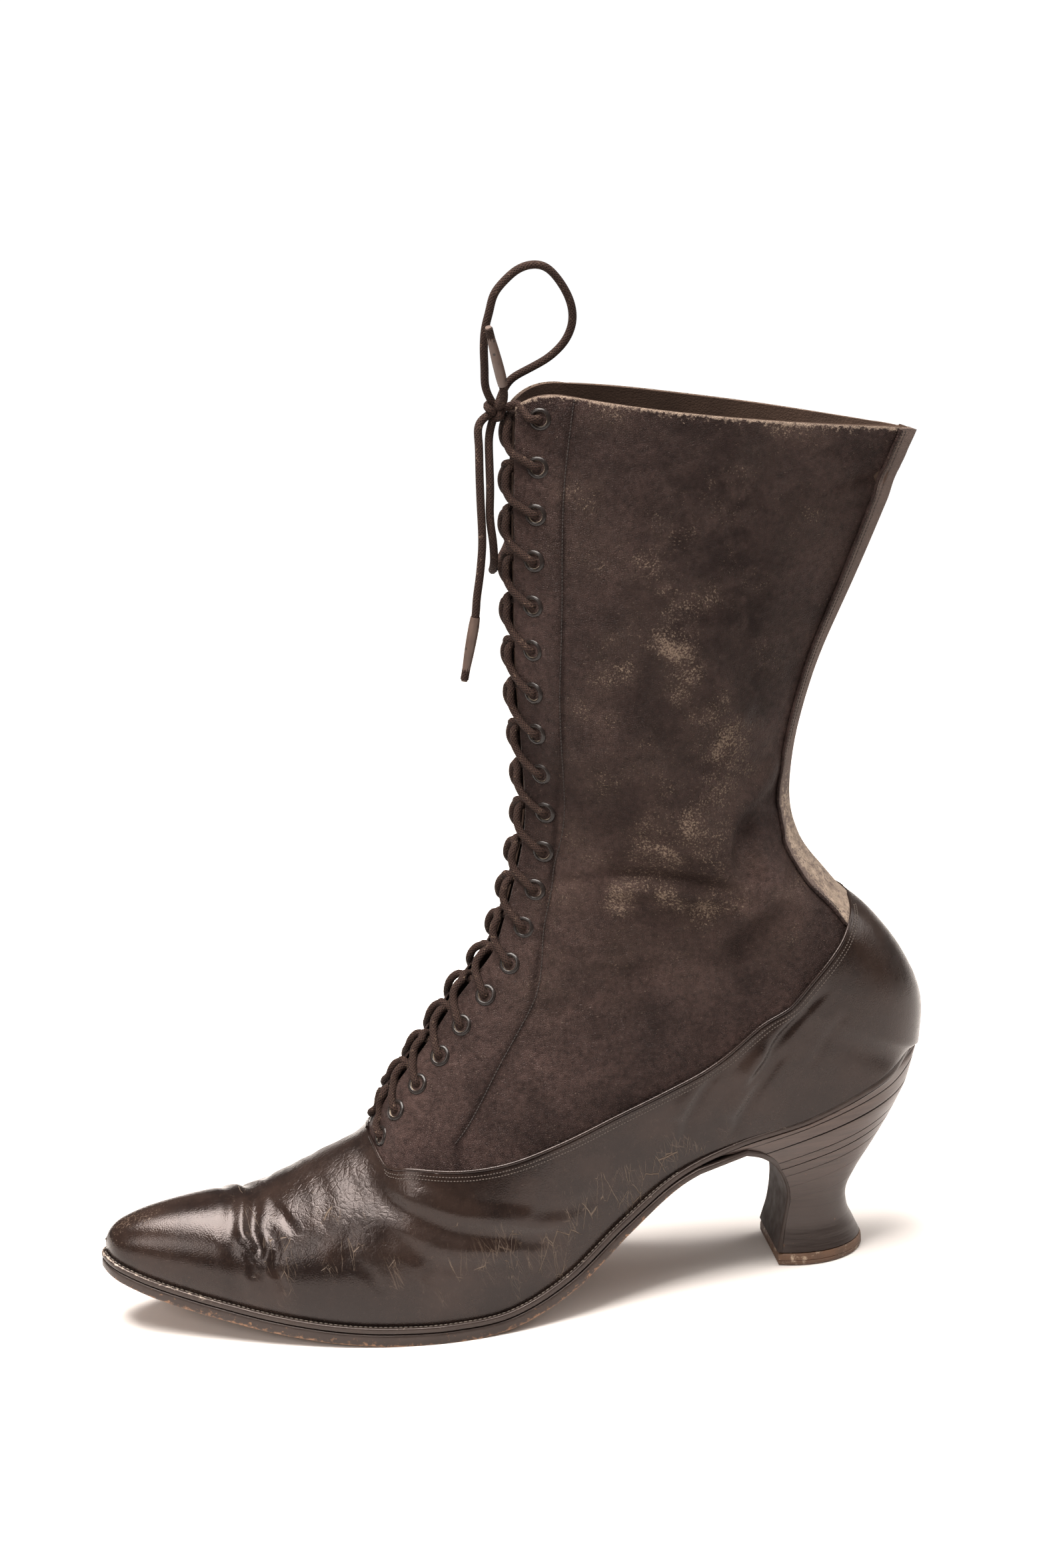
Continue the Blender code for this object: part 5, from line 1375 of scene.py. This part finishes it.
def lacing_run(first_side, over):
    """One half of the lace from the lowest eyelet up. over is how far it passes before the other half."""
    run = []
    side = first_side
    for k, s in enumerate(LACING):
        centre, normal = eyelet_spot(s, side)
        to_edge = unit(last_point(s, 0.0, side)[0] - centre)
        if k == 0:
            run.append(centre - normal * 3.2 + to_edge * 4.0)
        run += [centre - normal * 2.6 + to_edge * 0.6, centre - normal * 0.7]
        run.append(centre + normal * 0.9 + to_edge * 0.5)
        if k + 1 == len(LACING):
            run.append(centre + normal * 1.9 + to_edge * 3.0)
            break
        step = LACING[k + 1] - s
        spot, out = eyelet_spot(s + 0.08 * step, side)
        run.append(spot + out * 1.5 + to_edge * 4.0)
        for share, across, forward in EDGE_WRAP:
            at = section(np.array([s + share * step]))
            front = np.array([at["front_x"][0], at["middle"][0], at["front_z"][0]])
            way = unit(front - np.array([at["base_x"][0], at["middle"][0], at["base_z"][0]]))
            reach = across * at["edge"][0] + (1.4 if across == 1.0 else 0.0)
            lead = forward + over * (1.0 if abs(across) < 0.3 else 0.0)
            run.append(front + way * lead + np.array((0.0, side * reach, 0.0)))
        behind, back = eyelet_spot(s + 0.96 * step, -side)
        edge = unit(last_point(s + step, 0.0, -side)[0] - behind)
        run.append(behind - back * 3.0 + edge * 3.4)
        side = -side
    return run


cotton, tree, shader = finish_material("braided_cotton", Roughness=0.85, Specular_IOR_Level=0.15)
uv = put(tree, "ShaderNodeUVMap", uv_map="cord").outputs["UV"]
split = put(tree, "ShaderNodeSeparateXYZ", {"Vector": uv})
round_way = calc(tree, "MULTIPLY", split.outputs["X"], 8 * 2 * math.pi)
long_way = calc(tree, "MULTIPLY", split.outputs["Y"], 2 * math.pi / 1.1)
strand_a = calc(tree, "SINE", calc(tree, "ADD", round_way, long_way))
strand_b = calc(tree, "SINE", calc(tree, "SUBTRACT", round_way, long_way))
braid = calc(tree, "MAXIMUM", strand_a, strand_b)
place = place_of(tree)
fleck = remap(tree, noise(tree, place, 900, 3, 0.7), 0.60, 0.72)
# Painted shade: the cord is darker in the grooves between its strands and lighter on their crowns
tone = mix(tree, remap(tree, braid, 0.0, 1.0), (0.0038, 0.0019, 0.0014), (0.0200, 0.0102, 0.0073))
tone = mix(tree, calc(tree, "MULTIPLY", noise(tree, place, 120, 3), 0.4), tone, (0.026, 0.0132, 0.0093))
tone = tint(tree, tone, fleck, 0.4, (0.17, 0.120, 0.085))
wire(tree, shader, tone, None, braid, 0.6, 0.00022)

runs = []
for first_side, over in ((OUTER, 1.25), (INNER, -1.25)):
    run = lacing_run(first_side, over)
    side = -first_side
    run.append(KNOT + np.array((6.0, side * 2.6, 1.6 if side == OUTER else -0.4)))
    run.append(KNOT + np.array((1.2, side * 1.0, 0.0)))
    runs.append(tube("lace_run", even_path(smooth_path(run), LACE_PITCH), LACE_RADIUS))
show("lacing_cord", join_meshes("lacing_cord", runs), cotton, ["lacing"], smooth=70)

# Knot and bow: a single tight knot at the top, one loop standing up, one hanging in front of the lacing.
# Both ends are free, with lacquered tin tags.
LOOP_UP = (
    (0.9, 1.8, 282.6), (0.7, 0.3, 288.8), (0.5, -1.2, 295.6), (1.0, -2.2, 301.5), (2.3, -2.6, 305.9),
    (3.6, -2.9, 310.9), (6.4, -3.0, 314.2), (10.7, -3.0, 317.7), (15.2, -2.9, 318.8), (19.4, -2.5, 317.5),
    (23.5, -2.1, 312.2), (26.1, -1.4, 306.2), (26.5, -0.7, 300.8), (25.1, 0.1, 296.4), (23.0, 0.9, 293.3),
    (19.1, 1.7, 289.9), (13.9, 3.0, 287.0), (8.2, 5.4, 283.2),
)
LOOP_DOWN = (
    (1.5, 2.6, 268.6), (0.8, -0.4, 262.0), (0.4, -2.4, 254.0), (-0.1, -2.5, 245.3), (0.6, -2.3, 237.8),
    (1.0, 0.2, 231.0), (1.2, 5.8, 226.9), (4.0, 13.8, 226.4), (8.2, 19.6, 230.2), (11.0, 21.4, 238.0),
    (12.2, 21.0, 247.0), (11.8, 20.0, 256.0), (10.2, 17.6, 265.0), (7.4, 12.6, 271.8), (5.6, 9.4, 274.0),
)
END_UP = ((5.6, -2.0, 279.6), (5.2, -3.4, 284.4), (3.0, -6.2, 294.0), (1.0, -8.4, 302.6))
END_DOWN = (
    (-1.8, 0.8, 272.6), (-2.0, -0.4, 266.5), (-2.4, -1.6, 258.2), (-2.6, -2.6, 249.9), (-2.6, -3.0, 243.5),
    (-2.8, -3.4, 237.2), (-3.9, -3.5, 228.5), (-5.2, -3.5, 221.3), (-5.6, -3.5, 216.9), (-7.8, -3.5, 206.7),
    (-9.8, -3.5, 197.5),
)
TAG_LENGTH = 19.5
TAG_RADII = (1.32, 1.5, 1.5, 1.46, 1.36, 1.22, 1.05, 0.85)


def knot_wrap():
    """The knot's own turns: a closed trefoil of cord, pulled tight."""
    t = np.linspace(0, 2 * np.pi, 91)
    way = np.stack((np.sin(t) + 2 * np.sin(2 * t), np.cos(t) - 2 * np.cos(2 * t), -np.sin(3 * t)), -1)
    way = way / np.array((2.75, 2.75, 1.0)) * (KNOT_RADII - 0.9) * np.array((1.0, 1.0, 0.9))
    turned = np.array(Matrix.Rotation(math.radians(72), 3, "X")) @ way.T
    return KNOT + turned.T


knot_mesh = tube("knot_turns", knot_wrap()[:-1], LACE_RADIUS, caps=False)
shape = bmesh.new()
shape.from_mesh(knot_mesh)
bmesh.ops.bridge_loops(shape, edges=[edge for edge in shape.edges if edge.is_boundary])
bmesh.ops.recalc_face_normals(shape, faces=shape.faces)
shape.to_mesh(knot_mesh)
shape.free()
show("bow_knot", knot_mesh, cotton, ["lace_knot"], smooth=70)


def knot_exit(point, share=0.55):
    """The place in the knot where a cord that heads for a point starts, as a share of the way out of it."""
    way = np.array(point) - KNOT
    return KNOT + way / np.linalg.norm(way / KNOT_RADII) * share


def free_cord(name, points, node):
    """A free run of the lace from the knot."""
    path = eased(even_path(smooth_path(points), LACE_PITCH), 6)
    piece = show(name, tube(name, path, LACE_RADIUS), cotton, [node], smooth=70)


tin, tree, shader = finish_material("lacquered_tin", Metallic=0.25)
place = place_of(tree)
tone = mix(tree, noise(tree, place, 300, 4), (0.032, 0.0195, 0.0148), (0.080, 0.051, 0.039))
# Small round dark spots
dark_spots = put(tree, "ShaderNodeTexVoronoi", {"Vector": place, "Scale": 330.0}).outputs["Distance"]
tone = mix(tree, remap(tree, dark_spots, 0.12, 0.2), (0.012, 0.008, 0.006), tone)
rough = remap(tree, noise(tree, place, 400, 3), 0.3, 0.7, 0.38, 0.6)
wire(tree, shader, tone, rough, noise(tree, place, 260, 3), 0.3, 0.0005)


def tag(name, points, node):
    """A rolled metal tag on a lace end, tapered to its tip."""
    path = eased(even_path(smooth_path(points), 0.5), 9)
    back = np.linalg.norm(np.diff(path, axis=0), axis=1)[::-1].cumsum()
    keep = path[len(path) - 1 - int(np.searchsorted(back, TAG_LENGTH)):]
    keep = np.concatenate((keep, [keep[-1] + unit(keep[-1] - keep[-2]) * 0.5]))
    radii = np.interp(np.linspace(0, 1, len(keep)), np.linspace(0, 1, len(TAG_RADII)), TAG_RADII) + 0.08
    return show(name, tube(name, keep, radii, 14), tin, [node], smooth=60)


end_up = [knot_exit(END_UP[0], 0.1), *END_UP]
end_down = [knot_exit(END_DOWN[0]), *END_DOWN]
loop_up = [knot_exit(LOOP_UP[0]), *LOOP_UP, knot_exit(LOOP_UP[-1])]
loop_down = [knot_exit(LOOP_DOWN[0]), *LOOP_DOWN, knot_exit(LOOP_DOWN[-1])]
tag_up = tag("lace_tag_up", end_up, "aglet_up")
tag_down = tag("lace_tag_down", end_down, "aglet_down")
free_cord("bow_loop_up", loop_up, "lace_loop_up")
free_cord("bow_loop_down", loop_down, "lace_loop_down")
free_cord("lace_free_end_up", end_up, "lace_end_up")
free_cord("lace_free_end_down", end_down, "lace_end_down")

# Studio: a pale paper floor that runs off to white, with soft light from all round.
# A broad lamp hangs overhead, a second one stands behind the heel and a third before the toe.
paper, tree, shader = finish_material("pale_paper", Roughness=0.9, Specular_IOR_Level=0.1)
shader.inputs["Base Color"].default_value = (0.62, 0.605, 0.59, 1.0)
far = put(tree, "ShaderNodeVectorMath", {0: place_of(tree)}, operation="LENGTH").outputs["Value"]
tree.links.new(remap(tree, far, 0.45, 0.95, 1.0, 0.0), shader.inputs["Alpha"])
floor_mesh = bpy.data.meshes.new("floor")
floor_mesh.from_pydata([(-1, -1, 0), (1, -1, 0), (1, 1, 0), (-1, 1, 0)], [], [(0, 1, 2, 3)])
floor_mesh.materials.append(paper)
floor = placed("floor", floor_mesh)

world = bpy.data.worlds.new("white_room")
world.use_nodes = True
sky = world.node_tree
paths = put(sky, "ShaderNodeLightPath").outputs
seen = paths["Is Camera Ray"]
sky.links.new(mix(sky, seen, (1.0, 0.90, 0.84), (1.0, 1.0, 1.0)), sky.nodes["Background"].inputs["Color"])
fill = remap(sky, paths["Is Glossy Ray"], 0.0, 1.0, 0.50, 0.12)
bright = calc(sky, "MULTIPLY_ADD", seen, 0.60, fill)
sky.links.new(bright, sky.nodes["Background"].inputs["Strength"])
bpy.context.scene.world = world


def lamp(name, place, aim, size, watts):
    """A warm rectangular lamp that faces a point."""
    light = bpy.data.lights.new(name, "AREA")
    light.shape = "RECTANGLE"
    light.size, light.size_y = size
    light.energy = watts
    light.color = (1.0, 0.93, 0.88)
    made = placed(name, light)
    made.location = place
    made.rotation_mode = "QUATERNION"
    made.rotation_quaternion = (Vector(aim) - Vector(place)).to_track_quat("-Z", "Y")


lamp("overhead_lamp", (-0.21, -0.05, 1.0), (-0.06, 0.0, 0.05), (0.82, 0.66), 46.0)
lamp("back_lamp", (0.95, 0.10, 0.75), (0.06, 0.0, 0.12), (0.9, 0.9), 11.0)
lamp("front_lamp", (-1.25, -0.95, 1.0), (0.02, -0.02, 0.13), (0.7, 0.7), 13.0)

# Azimuth, elevation and roll in degrees, then the point looked at and the distance in metres
CAMERA_TURN = (-9.0, 20.0, -2.4)
CAMERA_AIM, CAMERA_DISTANCE = (0.00708, 0.0032, 0.16100), 1.28926
camera_data = bpy.data.cameras.new("camera")
camera_data.lens = 100.0
camera_data.sensor_width = 36.0
camera = placed("camera", camera_data)
azimuth, elevation, roll = (math.radians(v) for v in CAMERA_TURN)
level_reach = math.cos(elevation)
toward = Vector((math.sin(azimuth) * level_reach, -math.cos(azimuth) * level_reach, math.sin(elevation)))
right = (-toward).cross(Vector((0, 0, 1))).normalized()
up = right.cross(-toward)
side_way = right * math.cos(roll) + up * math.sin(roll)
up_way = up * math.cos(roll) - right * math.sin(roll)
turn = Matrix((side_way, up_way, toward)).transposed().to_4x4()
turn.translation = Vector(CAMERA_AIM) + toward * CAMERA_DISTANCE
camera.matrix_world = turn
bpy.context.scene.camera = camera
bpy.context.scene.view_settings.view_transform = "Standard"
